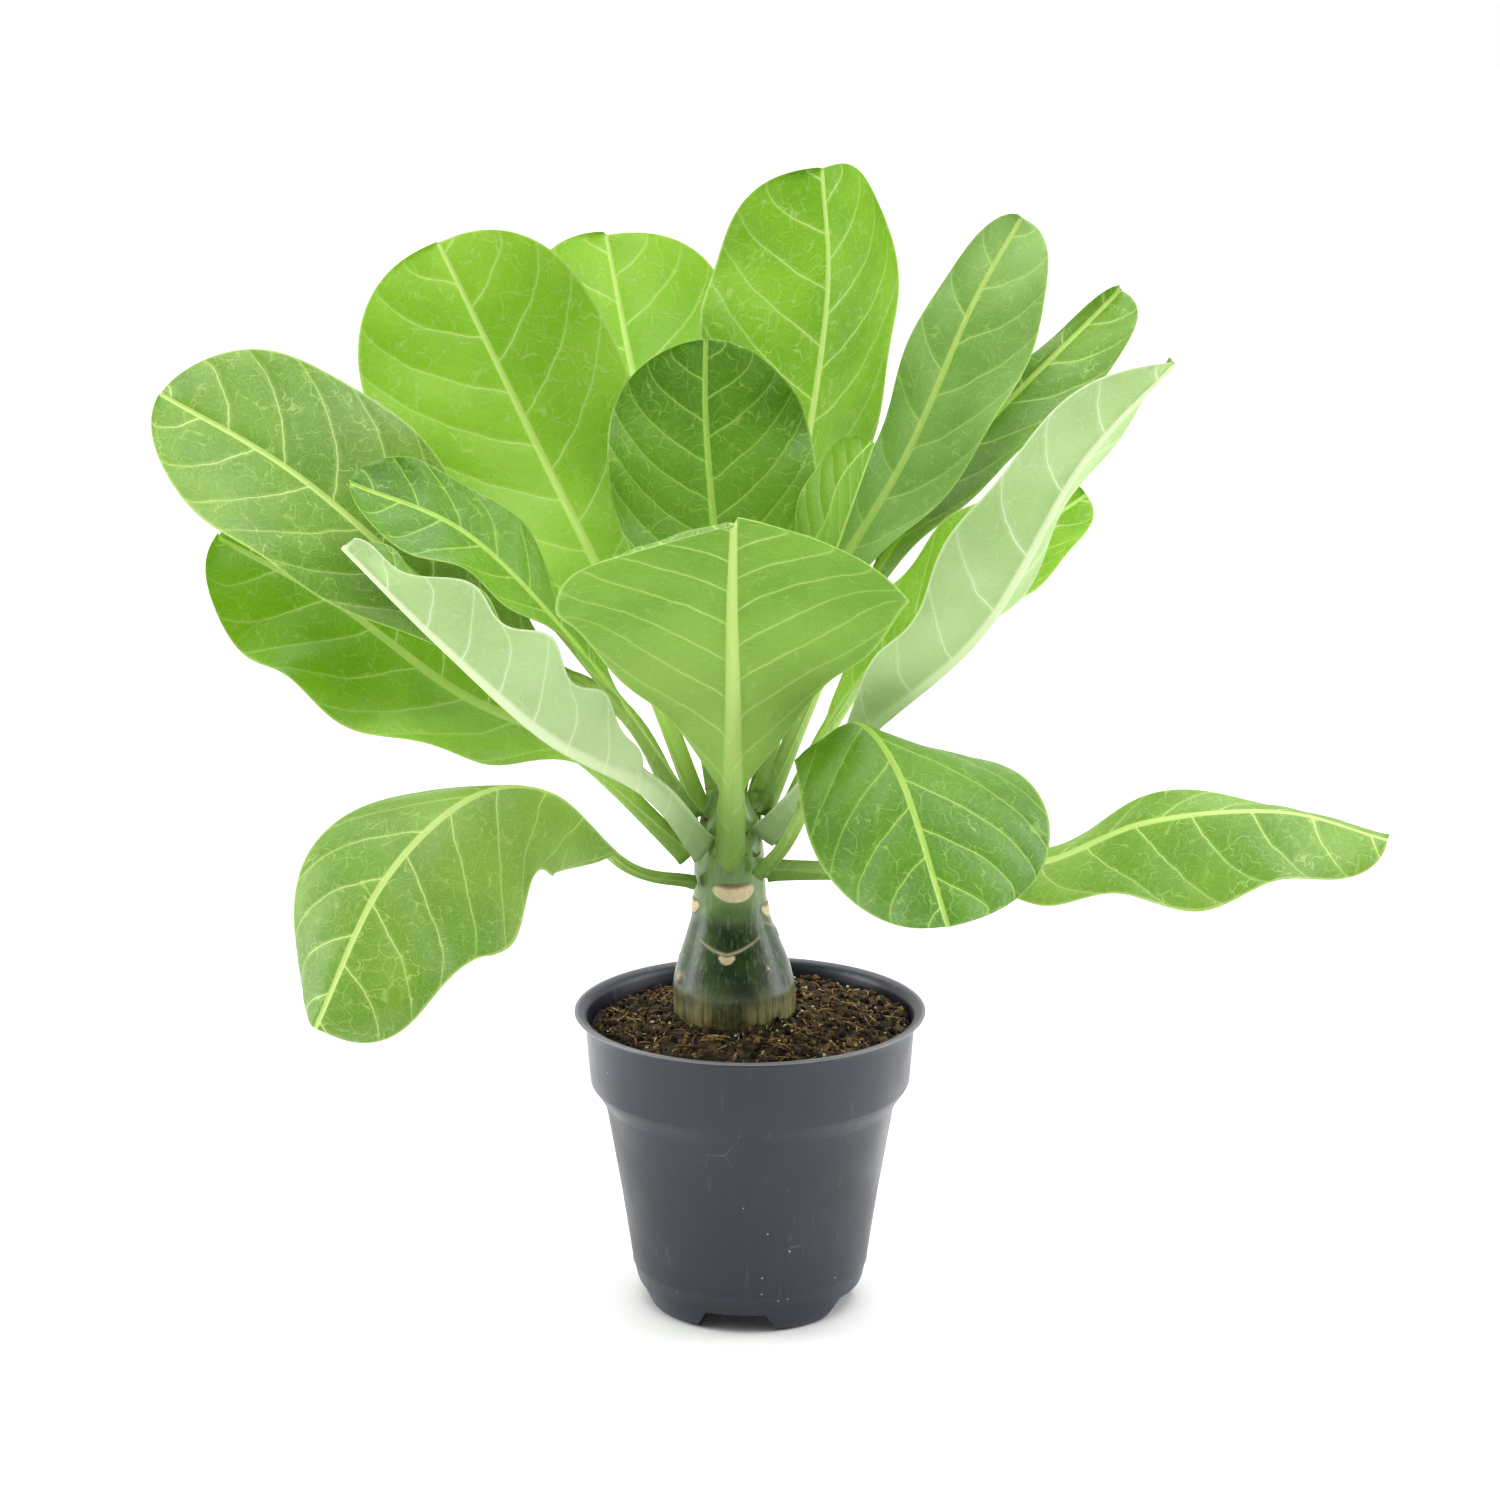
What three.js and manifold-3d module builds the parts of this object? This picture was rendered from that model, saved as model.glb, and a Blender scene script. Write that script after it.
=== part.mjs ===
// Potted brighamia: a moulded nursery pot, peat, a swollen green stem and a rosette of broad leaves.
// Millimetres, +Z up, pot axis on the Z axis, front of the plant towards -Y.
import * as THREE from "three";
import { mergeVertices } from "three/addons/utils/BufferGeometryUtils.js";
import Module from "manifold-3d";

const wasm = await Module();
wasm.setup();

// ---------- pot ----------
const POT_SEGMENTS = 60;
const RIM_TOP = 104;
const BASE_UNDERSIDE = 8;
const BASE_TOP = 9.2;
const POT_OUTSIDE = [[34, 0], [37, 3], [39.3, 9], [49.8, 72], [54.7, 79], [56.5, 101], [60, 103.2], [60, RIM_TOP]];
const POT_INSIDE = [[58, RIM_TOP], [55.4, 101], [53.5, 79.8], [48.6, 72.6], [38.4, 10.5], [36.4, BASE_TOP]];
const FOOT_INSIDE = [[34.2, BASE_UNDERSIDE], [32, 0]];
const FOOT_ANGLES = [-138, -57, 12, 82, 152];
const NOTCH_WIDTH_BELOW = 28;
const NOTCH_WIDTH_ABOVE = 19;
const NOTCH_HEIGHT = 7.6;
const DRAIN_RADIUS = 4;
const DRAIN_CIRCLE = 20;

// ---------- peat ----------
const SOIL_SEGMENTS = 48;
const SOIL_BOTTOM = 9.6;
const SOIL_WALL_GAP = 0.4;
const SOIL_EDGE_HEIGHT = 98;
const SOIL_MOUND_HEIGHT = 103;
const GAP = 0.35;

// ---------- stem ----------
const STEM_SEGMENTS = 24;
const STEM_BASE_X = -5;
const CROWN_X = -7;
const CROWN_BASE = 150;
const STEM_PROFILE = [
  [9, 80], [15, 83], [19, 92], [21.3, 105], [21.2, 113], [19.5, 120], [16.5, 128],
  [13.8, 136], [12.8, 143], [12.4, 150], [12, 160], [10, 171], [6, 180], [2.5, 185],
];

// ---------- leaves ----------
const PETIOLE_STATIONS = 3;
const BLADE_STATIONS = 11;
const TIP_HALF_WIDTH = 1.2;
const BLADE_THICKNESS = 1.3;
const MARGIN_THICKNESS = 0.8;
const KEEL_DEPTH_SHARE = 1.05;
const KEEL_DEPTH_AT_TIP = 0.5;

// One row a leaf. The rib is the midrib from the stem to the tip, each point [heading, reach, height]:
// heading in degrees from +X turning towards +Y, reach in millimetres from the crown's axis.
// petiole is the bare part of the length, shape the two powers that swell and close the outline.
// halves are the shares of the half width on the left and right, stalk the petiole's half width.
// roll turns the blade about its rib (degrees, positive lifts the left margin); fold and curl bend
// each half upwards from the rib; wave is the margin's [height, number of waves, start].
const LEAVES = [
  {
    name: "leaf_01",
    rib: [[212, 13.3, 153], [205, 36, 160], [211, 66, 188], [214, 98, 192], [216, 133, 170], [217, 160, 128]],
    width: 92, petiole: 0.17, shape: [0.6, 0.4], roll: [0, -5, -15, -20],
    halves: [0.9, 0.72], stalk: 3.5,
    leftFold: [-20, -30, -10], leftCurl: [-40, -40, -30], leftWave: [6, 2.2, 0.45],
    rightFold: [-30, -20, 10, 0], rightCurl: [-60, 10, -30, -50], rightWave: [5, 1.6, 0.1],
  },
  {
    name: "leaf_02",
    rib: [[348, 13.4, 154], [350, 66, 156], [344, 106, 163], [340, 143, 182], [339, 186, 190], [339, 220, 184]],
    width: 80, petiole: 0.28, shape: [0.95, 0.5], roll: [0],
    halves: [0.36, 0.83], stalk: 3.5,
    leftFold: [30, 20, -20], leftCurl: [10, -10], leftWave: [2, 2.2, 0.1],
    rightFold: [5, -38, -25], rightCurl: [0, -20], rightWave: [3, 2.5, 0.2],
  },
  {
    name: "leaf_03",
    rib: [[314, 13.2, 157], [306, 31, 172], [304, 54, 202], [303, 74, 218], [304, 96, 204], [304, 121, 162]],
    width: 96, petiole: 0.2, shape: [0.95, 0.42], roll: [0, 5, 10],
    halves: [1.1, 0.7], stalk: 3.5,
    leftFold: [-45, -38, -8, 0], leftCurl: [-30, -20, -10], leftWave: [2, 1.6, 0.1],
    rightFold: [-20, -10, 0], rightCurl: [-30, -20, 0], rightWave: [3, 1.5, 0.6],
  },
  {
    name: "leaf_04",
    rib: [[191, 13.2, 159], [184, 52, 195], [176, 92, 213], [173, 133, 241], [172, 174, 262]],
    width: 86, petiole: 0.2, shape: [0.8, 0.45], roll: [-10, -50, -50],
    halves: [0.85, 1], stalk: 4,
    leftFold: [15, 5], leftCurl: [10, 0], leftWave: [6, 3.2, 0.1],
    rightFold: [15, 5], rightCurl: [10, 0], rightWave: [4, 3.2, 0.1],
  },
  {
    name: "leaf_05",
    rib: [[228, 13.2, 163], [233, 43, 190], [229, 85, 214], [226, 122, 247], [222, 152, 280]],
    width: 44, petiole: 0.25, shape: [0.6, 0.6], roll: [0, -5, -20],
    halves: [1, 1], stalk: 4.5,
    leftFold: [35, 50, 30], leftCurl: [30, 20], leftWave: [3, 4, 0.2],
    rightFold: [60, 70, 20], rightCurl: [10, 10], rightWave: [3, 4, 0.6],
  },
  {
    name: "leaf_06",
    rib: [[167, 13, 167], [178, 36, 208], [181, 80, 233], [181, 140, 286], [181, 185, 314]],
    width: 76, petiole: 0.28, shape: [1, 0.5], roll: [0, -45, -50],
    halves: [1, 1], stalk: 3.5,
    leftFold: [20, 10], leftCurl: [10, -10], leftWave: [2, 3, 0.3],
    rightFold: [20, 10], rightCurl: [10, -10], rightWave: [2, 3, 0.6],
  },
  {
    name: "leaf_07",
    rib: [[330, 13, 167], [324, 54, 208], [319, 104, 249], [320, 137, 302], [323, 164, 334]],
    width: 84, petiole: 0.2, shape: [0.8, 0.6], roll: [0, 0],
    halves: [0.4, 0.58], stalk: 4,
    leftFold: [30, 15, 10], leftCurl: [0, -10], leftWave: [2, 3, 0.3],
    rightFold: [30, 28, 20], rightCurl: [30, 10], rightWave: [2, 3, 0.6],
  },
  {
    name: "leaf_08",
    rib: [[0, 13, 163], [6, 45, 218], [4, 95, 262], [3.4, 118.6, 279.4]],
    width: 70, petiole: 0.25, shape: [1, 0.5], roll: [0, 30],
    halves: [0.72, 1.2], stalk: 3.5,
    leftFold: [20, 10], leftCurl: [10, 10], leftWave: [2, 3, 0.3],
    rightFold: [20, 10], rightCurl: [10, 10], rightWave: [2, 3, 0.6],
  },
  {
    name: "leaf_09",
    rib: [[24, 11.6, 171], [34, 48, 232], [35, 96, 285], [31, 160, 341]],
    width: 66, petiole: 0.28, shape: [1, 0.5], roll: [0, 40],
    halves: [0.2, 1], stalk: 3.5,
    leftFold: [20, 20], leftCurl: [20, 20], leftWave: [2, 3, 0.3],
    rightFold: [20, 20], rightCurl: [20, 20], rightWave: [2, 3, 0.6],
  },
  {
    name: "leaf_10",
    rib: [[56, 12.5, 167], [46, 38, 230], [37, 75, 286], [34, 100, 337], [32, 118, 367]],
    width: 66, petiole: 0.3, shape: [1, 0.5], roll: [0, 35],
    halves: [0.45, 1], stalk: 3.5,
    leftFold: [10, 10], leftCurl: [10, 15], leftWave: [2, 3, 0.3],
    rightFold: [10, 10], rightCurl: [10, 15], rightWave: [2, 3, 0.6],
  },
  {
    name: "leaf_11",
    rib: [[80, 10.4, 175], [60, 38, 250], [62, 71, 335], [67, 82, 383]],
    width: 92, petiole: 0.3, shape: [0.85, 0.4], roll: [0, 0],
    halves: [1, 1], stalk: 3.5,
    leftFold: [10, 0], leftCurl: [10, 5], leftWave: [2, 3, 0.3],
    rightFold: [10, 30], rightCurl: [10, 25], rightWave: [2, 3, 0.6],
  },
  {
    name: "leaf_12",
    rib: [[105, 12.6, 167], [108, 58, 246], [109, 105, 306], [109, 140, 357]],
    width: 84, petiole: 0.3, shape: [1, 0.5], roll: [0, -10],
    halves: [1, 1], stalk: 3.5,
    leftFold: [10, 10], leftCurl: [10, 10], leftWave: [2, 3, 0.3],
    rightFold: [10, 10], rightCurl: [10, 10], rightWave: [2, 3, 0.6],
  },
  {
    name: "leaf_13",
    rib: [[138, 12, 170], [138, 42, 222], [139, 85, 284], [145, 123, 358]],
    width: 96, petiole: 0.24, shape: [0.9, 0.42], roll: [0, -35, -40],
    halves: [1.05, 0.85], stalk: 3.5,
    leftFold: [10, 5], leftCurl: [10, 10], leftWave: [2, 3, 0.3],
    rightFold: [10, 5], rightCurl: [10, 10], rightWave: [2, 3, 0.6],
  },
  {
    name: "leaf_14",
    rib: [[200, 11.2, 173], [190, 42, 220], [190, 84, 268], [191, 124, 288]],
    width: 52, petiole: 0.25, shape: [1, 0.5], roll: [0, -40],
    halves: [1, 0.72], stalk: 3.5,
    leftFold: [10, 0], leftCurl: [10, 10], leftWave: [2, 3, 0.3],
    rightFold: [15, 10], rightCurl: [10, 10], rightWave: [2, 3, 0.6],
  },
  {
    name: "leaf_15",
    rib: [[272, 13.4, 160], [272, 44, 210], [271, 90, 259], [271, 134, 292]],
    width: 108, petiole: 0.12, shape: [1.25, 0.45], roll: [0, 0],
    halves: [1, 1], stalk: 5,
    leftFold: [25, 5], leftCurl: [-10, -40], leftWave: [2, 3, 0.3],
    rightFold: [25, 5], rightCurl: [-10, -40], rightWave: [2, 3, 0.6],
  },
  {
    name: "leaf_16",
    rib: [[125, 8.2, 180], [104, 15, 240], [108, 25, 300], [108, 25, 329]],
    width: 72, petiole: 0.28, shape: [0.8, 0.5], roll: [0, -10],
    halves: [1, 1], stalk: 2.8,
    leftFold: [10, 5], leftCurl: [10, 5], leftWave: [2, 3, 0.3],
    rightFold: [10, 5], rightCurl: [10, 5], rightWave: [2, 3, 0.6],
  },
  {
    name: "leaf_17",
    rib: [[366, 8.6, 180], [354, 28, 245], [349, 47, 299]],
    width: 50, petiole: 0.3, shape: [1, 0.5], roll: [0, 20],
    halves: [1, 1], stalk: 2.8,
    leftFold: [20, 20], leftCurl: [20, 10], leftWave: [1, 3, 0.3],
    rightFold: [20, 20], rightCurl: [20, 10], rightWave: [1, 3, 0.6],
  },
  {
    name: "leaf_18",
    rib: [[300, 7.6, 182], [300, 13, 205], [300, 17, 226]],
    width: 20, petiole: 0.3, shape: [1, 0.5], roll: [0],
    halves: [1, 1], stalk: 1.4,
    leftFold: [30, 30], leftCurl: [20, 20], leftWave: [0.5, 2, 0.3],
    rightFold: [30, 30], rightCurl: [20, 20], rightWave: [0.5, 2, 0.6],
  },
  {
    name: "leaf_19",
    rib: [[215, 7.6, 182], [215, 10, 202], [215, 13, 219]],
    width: 16, petiole: 0.3, shape: [1, 0.5], roll: [0],
    halves: [1, 1], stalk: 1.2,
    leftFold: [30, 30], leftCurl: [20, 20], leftWave: [0.5, 2, 0.3],
    rightFold: [30, 30], rightCurl: [20, 20], rightWave: [0.5, 2, 0.6],
  },
];

const COLOURS = {
  pot: [0x31363d, 0.62],
  soil: [0x3a2619, 0.95],
  stem: [0x3f5a2e, 0.45],
  leaf: [0x6fae35, 0.5],
};

// ---------- shared geometry helpers ----------

// Smooth value at s (0..1) of knots spread evenly over that range.
function readProfile(knots, s) {
  const last = knots.length - 1;
  if (last === 0) return knots[0];
  const place = Math.min(Math.max(s, 0), 1) * last;
  const i = Math.min(Math.floor(place), last - 1);
  const f = place - i;
  const p1 = knots[i];
  const p2 = knots[i + 1];
  const p0 = i === 0 ? 2 * p1 - p2 : knots[i - 1];
  const p3 = i === last - 1 ? 2 * p2 - p1 : knots[i + 2];
  const linear = (p2 - p0) * f;
  const square = (2 * p0 - 5 * p1 + 4 * p2 - p3) * f * f;
  const cube = (3 * p1 - p0 - 3 * p2 + p3) * f * f * f;
  return 0.5 * (2 * p1 + linear + square + cube);
}

// Closed body through a list of rings with the same number of points, each turning
// anticlockwise when looked at from the next ring.
function loftRings(rings) {
  const count = rings[0].length;
  const positions = [];
  const index = [];
  for (const ring of rings) {
    for (const point of ring) positions.push(point.x, point.y, point.z);
  }
  for (let i = 0; i < rings.length - 1; i += 1) {
    for (let j = 0; j < count; j += 1) {
      const a = i * count + j;
      const b = i * count + ((j + 1) % count);
      index.push(a, b, b + count, a, b + count, a + count);
    }
  }
  addCap(positions, index, rings[0], 0, true);
  addCap(positions, index, rings[rings.length - 1], (rings.length - 1) * count, false);
  const geometry = new THREE.BufferGeometry();
  geometry.setAttribute("position", new THREE.Float32BufferAttribute(positions, 3));
  geometry.setIndex(index);
  geometry.computeVertexNormals();
  return geometry;
}

function addCap(positions, index, ring, start, facesBack) {
  const middle = new THREE.Vector3();
  for (const point of ring) middle.add(point);
  middle.divideScalar(ring.length);
  const centre = positions.length / 3;
  positions.push(middle.x, middle.y, middle.z);
  for (let j = 0; j < ring.length; j += 1) {
    const a = start + j;
    const b = start + ((j + 1) % ring.length);
    if (facesBack) index.push(centre, b, a);
    else index.push(centre, a, b);
  }
}

function toSolid(geometry) {
  const bare = geometry.clone();
  bare.deleteAttribute("normal");
  bare.deleteAttribute("uv");
  const merged = mergeVertices(bare, 1e-4);
  const mesh = new wasm.Mesh({
    numProp: 3,
    vertProperties: new Float32Array(merged.attributes.position.array),
    triVerts: new Uint32Array(merged.index.array),
  });
  return new wasm.Manifold(mesh);
}

function toGeometry(solid) {
  const mesh = solid.getMesh();
  const geometry = new THREE.BufferGeometry();
  geometry.setAttribute("position", new THREE.BufferAttribute(mesh.vertProperties, 3));
  geometry.setIndex(new THREE.BufferAttribute(mesh.triVerts, 1));
  geometry.computeVertexNormals();
  return geometry;
}

function makeMesh(name, geometry, [colour, roughness]) {
  const material = new THREE.MeshStandardMaterial({ color: colour, roughness, metalness: 0 });
  const mesh = new THREE.Mesh(geometry, material);
  mesh.name = name;
  return mesh;
}

// ---------- pot: one thin moulded wall, raised base, five feet and drainage holes ----------
// A straight-sided opening narrower at the top, cut outwards through the foot ring.
function makeNotch(angle) {
  const shape = new THREE.Shape([
    new THREE.Vector2(-NOTCH_WIDTH_BELOW / 2, -1),
    new THREE.Vector2(NOTCH_WIDTH_BELOW / 2, -1),
    new THREE.Vector2(NOTCH_WIDTH_ABOVE / 2, NOTCH_HEIGHT),
    new THREE.Vector2(-NOTCH_WIDTH_ABOVE / 2, NOTCH_HEIGHT),
  ]);
  const notch = new THREE.ExtrudeGeometry(shape, { depth: 30, bevelEnabled: false });
  const sideways = new THREE.Vector3(0, 1, 0);
  const upwards = new THREE.Vector3(0, 0, 1);
  const outwards = new THREE.Vector3(1, 0, 0);
  notch.applyMatrix4(new THREE.Matrix4().makeBasis(sideways, upwards, outwards));
  notch.translate(25, 0, 0);
  notch.rotateZ(angle);
  return toSolid(notch);
}

function makePot() {
  const outline = [[0, BASE_UNDERSIDE], ...FOOT_INSIDE, ...POT_OUTSIDE, ...POT_INSIDE, [0, BASE_TOP]];
  const profile = outline.map(([radius, height]) => new THREE.Vector2(radius, height));
  const lathe = new THREE.LatheGeometry(profile, POT_SEGMENTS);
  lathe.rotateX(Math.PI / 2);
  let solid = toSolid(lathe);
  for (let k = 0; k < FOOT_ANGLES.length; k += 1) {
    const here = FOOT_ANGLES[k];
    const next = k === FOOT_ANGLES.length - 1 ? FOOT_ANGLES[0] + 360 : FOOT_ANGLES[k + 1];
    const angle = THREE.MathUtils.degToRad((here + next) / 2);
    solid = solid.subtract(makeNotch(angle));
    const drain = new THREE.CylinderGeometry(DRAIN_RADIUS, DRAIN_RADIUS, 6, 16);
    drain.rotateX(Math.PI / 2);
    drain.translate(DRAIN_CIRCLE, 0, BASE_TOP);
    drain.rotateZ(angle);
    solid = solid.subtract(toSolid(drain));
  }
  return makeMesh("pot", toGeometry(solid), COLOURS.pot);
}

// ---------- stem: swollen caudex, waisted neck and the pointed crown ----------
function stemCentreX(height) {
  const rise = THREE.MathUtils.clamp((height - 100) / (CROWN_BASE - 100), 0, 1);
  return STEM_BASE_X + (CROWN_X - STEM_BASE_X) * rise;
}

function circle(radius, height, centreX, count) {
  const points = [];
  for (let j = 0; j < count; j += 1) {
    const angle = (2 * Math.PI * j) / count;
    points.push(new THREE.Vector3(centreX + radius * Math.cos(angle), radius * Math.sin(angle), height));
  }
  return points;
}

function makeStem() {
  const rings = STEM_PROFILE.map(([radius, height]) => circle(radius, height, stemCentreX(height), STEM_SEGMENTS));
  return makeMesh("stem", loftRings(rings), COLOURS.stem);
}

// ---------- soil: peat filling the pot, moulded round the buried foot of the stem ----------
function potInnerRadius(height) {
  for (let k = POT_INSIDE.length - 1; k > 0; k -= 1) {
    const [r0, z0] = POT_INSIDE[k];
    const [r1, z1] = POT_INSIDE[k - 1];
    if (height <= z1) return r0 + ((r1 - r0) * (height - z0)) / (z1 - z0);
  }
  return POT_INSIDE[0][0];
}

function soilHeight(x, y, share) {
  const lumps = 0.7 * Math.sin(0.31 * x + 1.3) * Math.cos(0.27 * y) + 0.4 * Math.sin(0.6 * y + 0.5 * x);
  return SOIL_EDGE_HEIGHT + (SOIL_MOUND_HEIGHT - SOIL_EDGE_HEIGHT) * share + 0.02 * x + lumps;
}

function makeSoil() {
  const rings = [];
  for (const height of [SOIL_BOTTOM, 10.5, 72.6, 79.8, SOIL_EDGE_HEIGHT - 2]) {
    rings.push(circle(potInnerRadius(height) - SOIL_WALL_GAP, height, 0, SOIL_SEGMENTS));
  }
  const outer = circle(potInnerRadius(SOIL_EDGE_HEIGHT - 2) - SOIL_WALL_GAP, 0, 0, SOIL_SEGMENTS);
  const inner = circle(21.3 + GAP + 0.15, 0, STEM_BASE_X, SOIL_SEGMENTS);
  for (const share of [0, 0.2, 0.4, 0.6, 0.8, 1]) {
    rings.push(outer.map((point, j) => {
      const place = point.clone().lerp(inner[j], share);
      place.z = soilHeight(place.x, place.y, share);
      return place;
    }));
  }
  for (const [radius, height] of [[21.3, 100], [19, 92], [15, 83], [9, 80]]) {
    rings.push(circle(radius + GAP + 0.15, height - GAP, STEM_BASE_X, SOIL_SEGMENTS));
  }
  return makeMesh("soil", loftRings(rings), COLOURS.soil);
}

// ---------- leaves: a petiole and a blade grown as one body along the rib ----------
function ribPoint(leaf, u) {
  const angles = leaf.rib.map(([heading]) => THREE.MathUtils.degToRad(heading));
  const xs = leaf.rib.map(([, reach], k) => CROWN_X + reach * Math.cos(angles[k]));
  const ys = leaf.rib.map(([, reach], k) => reach * Math.sin(angles[k]));
  const zs = leaf.rib.map(([, , height]) => height);
  return new THREE.Vector3(readProfile(xs, u), readProfile(ys, u), readProfile(zs, u));
}

// Curve parameters that are evenly spaced in length along the rib, one for each share of it.
function evenParameters(leaf, shares) {
  const steps = 120;
  const lengths = [0];
  let before = ribPoint(leaf, 0);
  for (let k = 1; k <= steps; k += 1) {
    const here = ribPoint(leaf, k / steps);
    lengths.push(lengths[k - 1] + here.distanceTo(before));
    before = here;
  }
  return shares.map((share) => {
    const wanted = share * lengths[steps];
    let k = 1;
    while (k < steps && lengths[k] < wanted) k += 1;
    const part = (wanted - lengths[k - 1]) / (lengths[k] - lengths[k - 1]);
    return (k - 1 + part) / steps;
  });
}

// Directions at one place of the rib: along it, to its left and out of its upper face.
function ribFrame(leaf, u, share) {
  const step = 0.001;
  const along = ribPoint(leaf, Math.min(u + step, 1)).sub(ribPoint(leaf, Math.max(u - step, 0))).normalize();
  const heading = THREE.MathUtils.degToRad(readProfile(leaf.rib.map((row) => row[0]), u));
  const left = new THREE.Vector3(-Math.sin(heading), Math.cos(heading), 0);
  left.addScaledVector(along, -left.dot(along)).normalize();
  const up = new THREE.Vector3().crossVectors(along, left);
  const roll = THREE.MathUtils.degToRad(readProfile(leaf.roll, share));
  left.applyAxisAngle(along, roll);
  up.applyAxisAngle(along, roll);
  return { left, up };
}

function bladeHalfWidth(leaf, q) {
  const [swell, close] = leaf.shape;
  const total = swell + close;
  const peak = (swell / total) ** swell * (close / total) ** close;
  return (leaf.width / 2) * (q ** swell) * ((1 - q) ** close) / peak;
}

// Height and sideways place of a point t (0 rib, 1 margin) on one half of the blade.
function halfSection(halfWidth, q, t, fold, curl, wave) {
  const start = THREE.MathUtils.degToRad(readProfile(fold, q));
  const bend = THREE.MathUtils.degToRad(readProfile(curl, q)) || 0.001;
  const angle = start + bend * t;
  const across = (halfWidth * (Math.sin(angle) - Math.sin(start))) / bend;
  const bulge = (halfWidth * (Math.cos(start) - Math.cos(angle))) / bend;
  const ripple = wave[0] * t * t * Math.sin(2 * Math.PI * (wave[1] * q + wave[2])) * Math.min(1, 4 * q);
  return [across, bulge + ripple];
}

function leafRing(leaf, u, share) {
  const q = THREE.MathUtils.clamp((share - leaf.petiole) / (1 - leaf.petiole), 0, 1);
  const { left, up } = ribFrame(leaf, u, share);
  const keelHalf = THREE.MathUtils.lerp(leaf.stalk, TIP_HALF_WIDTH, q ** 0.6);
  const keelDepth = THREE.MathUtils.lerp(KEEL_DEPTH_SHARE * leaf.stalk, KEEL_DEPTH_AT_TIP, Math.sqrt(share));
  const halfWidths = leaf.halves.map((share) => Math.max(bladeHalfWidth(leaf, q) * share, keelHalf));
  const nearRib = Math.min(0.4, keelHalf / Math.max(...halfWidths));
  const upper = [];
  const lower = [];
  for (const t of [1, 0.6, nearRib, 0, -nearRib, -0.6, -1]) {
    const side = t >= 0 ? 1 : -1;
    const reach = Math.abs(t);
    const [fold, curl, wave] = side > 0
      ? [leaf.leftFold, leaf.leftCurl, leaf.leftWave]
      : [leaf.rightFold, leaf.rightCurl, leaf.rightWave];
    const halfWidth = halfWidths[side > 0 ? 0 : 1];
    const [across, rise] = halfSection(halfWidth, q, reach, fold, curl, wave);
    const top = ribPoint(leaf, u).addScaledVector(left, side * across).addScaledVector(up, rise);
    const keel = keelDepth * Math.sqrt(Math.max(0, 1 - ((reach * halfWidth) / keelHalf) ** 2));
    const thickness = THREE.MathUtils.lerp(BLADE_THICKNESS, MARGIN_THICKNESS, reach) + keel;
    upper.push(top);
    lower.unshift(top.clone().addScaledVector(up, -thickness));
  }
  return [...upper, ...lower];
}

function makeLeaf(leaf) {
  const shares = [];
  for (let i = 0; i < PETIOLE_STATIONS; i += 1) shares.push((leaf.petiole * i) / PETIOLE_STATIONS);
  for (let i = 0; i <= BLADE_STATIONS; i += 1) {
    const q = Math.sin((Math.PI / 2) * (i / BLADE_STATIONS));
    shares.push(leaf.petiole + (1 - leaf.petiole) * q);
  }
  const parameters = evenParameters(leaf, shares);
  const rings = shares.map((share, k) => leafRing(leaf, parameters[k], share));
  return makeMesh(leaf.name, loftRings(rings), COLOURS.leaf);
}

const group = new THREE.Group();
group.name = "potted_brighamia";
group.add(makePot(), makeSoil(), makeStem());
for (const leaf of LEAVES) group.add(makeLeaf(leaf));

export default group;
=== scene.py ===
"""Looks of the potted brighamia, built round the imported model.

Lengths are millimetres until make_object() turns them into metres. +Z is up, the pot's axis is
the Z axis and the front of the plant faces -Y.
"""

import math
import random

import bpy
import numpy as np
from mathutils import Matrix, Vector, noise


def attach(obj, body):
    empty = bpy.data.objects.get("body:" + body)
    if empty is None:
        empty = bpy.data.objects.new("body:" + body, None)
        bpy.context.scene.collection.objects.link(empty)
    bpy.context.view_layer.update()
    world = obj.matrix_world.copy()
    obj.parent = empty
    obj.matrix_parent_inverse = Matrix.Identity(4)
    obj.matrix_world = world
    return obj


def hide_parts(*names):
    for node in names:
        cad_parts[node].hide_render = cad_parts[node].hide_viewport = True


MM = 0.001

# ---------- pot ----------
POT_COLUMNS = 240
RIM_TOP = 104
POT_OUTSIDE = [
    (34, 0), (35.6, 0.8), (37, 3), (38.2, 6), (39.3, 9), (40.4, 14), (40.75, 14.3), (40.85, 16),
    (44.4, 40), (49.4, 70), (49.7, 70.6), (49.9, 71.4), (50.3, 72.4), (52.6, 76), (54.3, 78.4),
    (54.75, 79.3), (55.3, 86), (56.2, 98), (56.45, 100.8), (57.2, 102.2), (58.6, 102.9),
    (59.8, 103.1), (60, 103.4), (59.9, 103.85),
]
POT_INSIDE = [
    (59.4, 104), (58.3, 103.9), (57, 103.4), (55.9, 102.4), (55.4, 101), (54.4, 90), (53.5, 79.8),
    (50.8, 75.6), (48.6, 72.6), (44, 45), (38.4, 11.2), (37.6, 9.8), (36.2, 9.2),
]
BASE_UNDERSIDE = 8
BASE_TOP = 9.2
FOOT_HEIGHT = 9
FOOT_INSIDE = [(34.2, BASE_UNDERSIDE), (33.2, 3.5), (32.4, 0.2)]
FOOT_ANGLES = [-138, -57, 12, 82, 152]
NOTCH_HALF_BELOW = 14
NOTCH_HALF_ABOVE = 9.5
NOTCH_HEIGHT = 7.6
DRAIN_RADIUS = 4
DRAIN_CIRCLE = 20

# ---------- peat ----------
SOIL_COLUMNS = 200
SOIL_BOTTOM = 9.6
SOIL_WALL_GAP = 0.4
SOIL_EDGE_HEIGHT = 98
SOIL_MOUND_HEIGHT = 103
SOIL_INSIDE_WALL = [(37.6, 11.2), (48.2, 72.6), (53.1, 79.8), (54.4, 96)]

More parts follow.
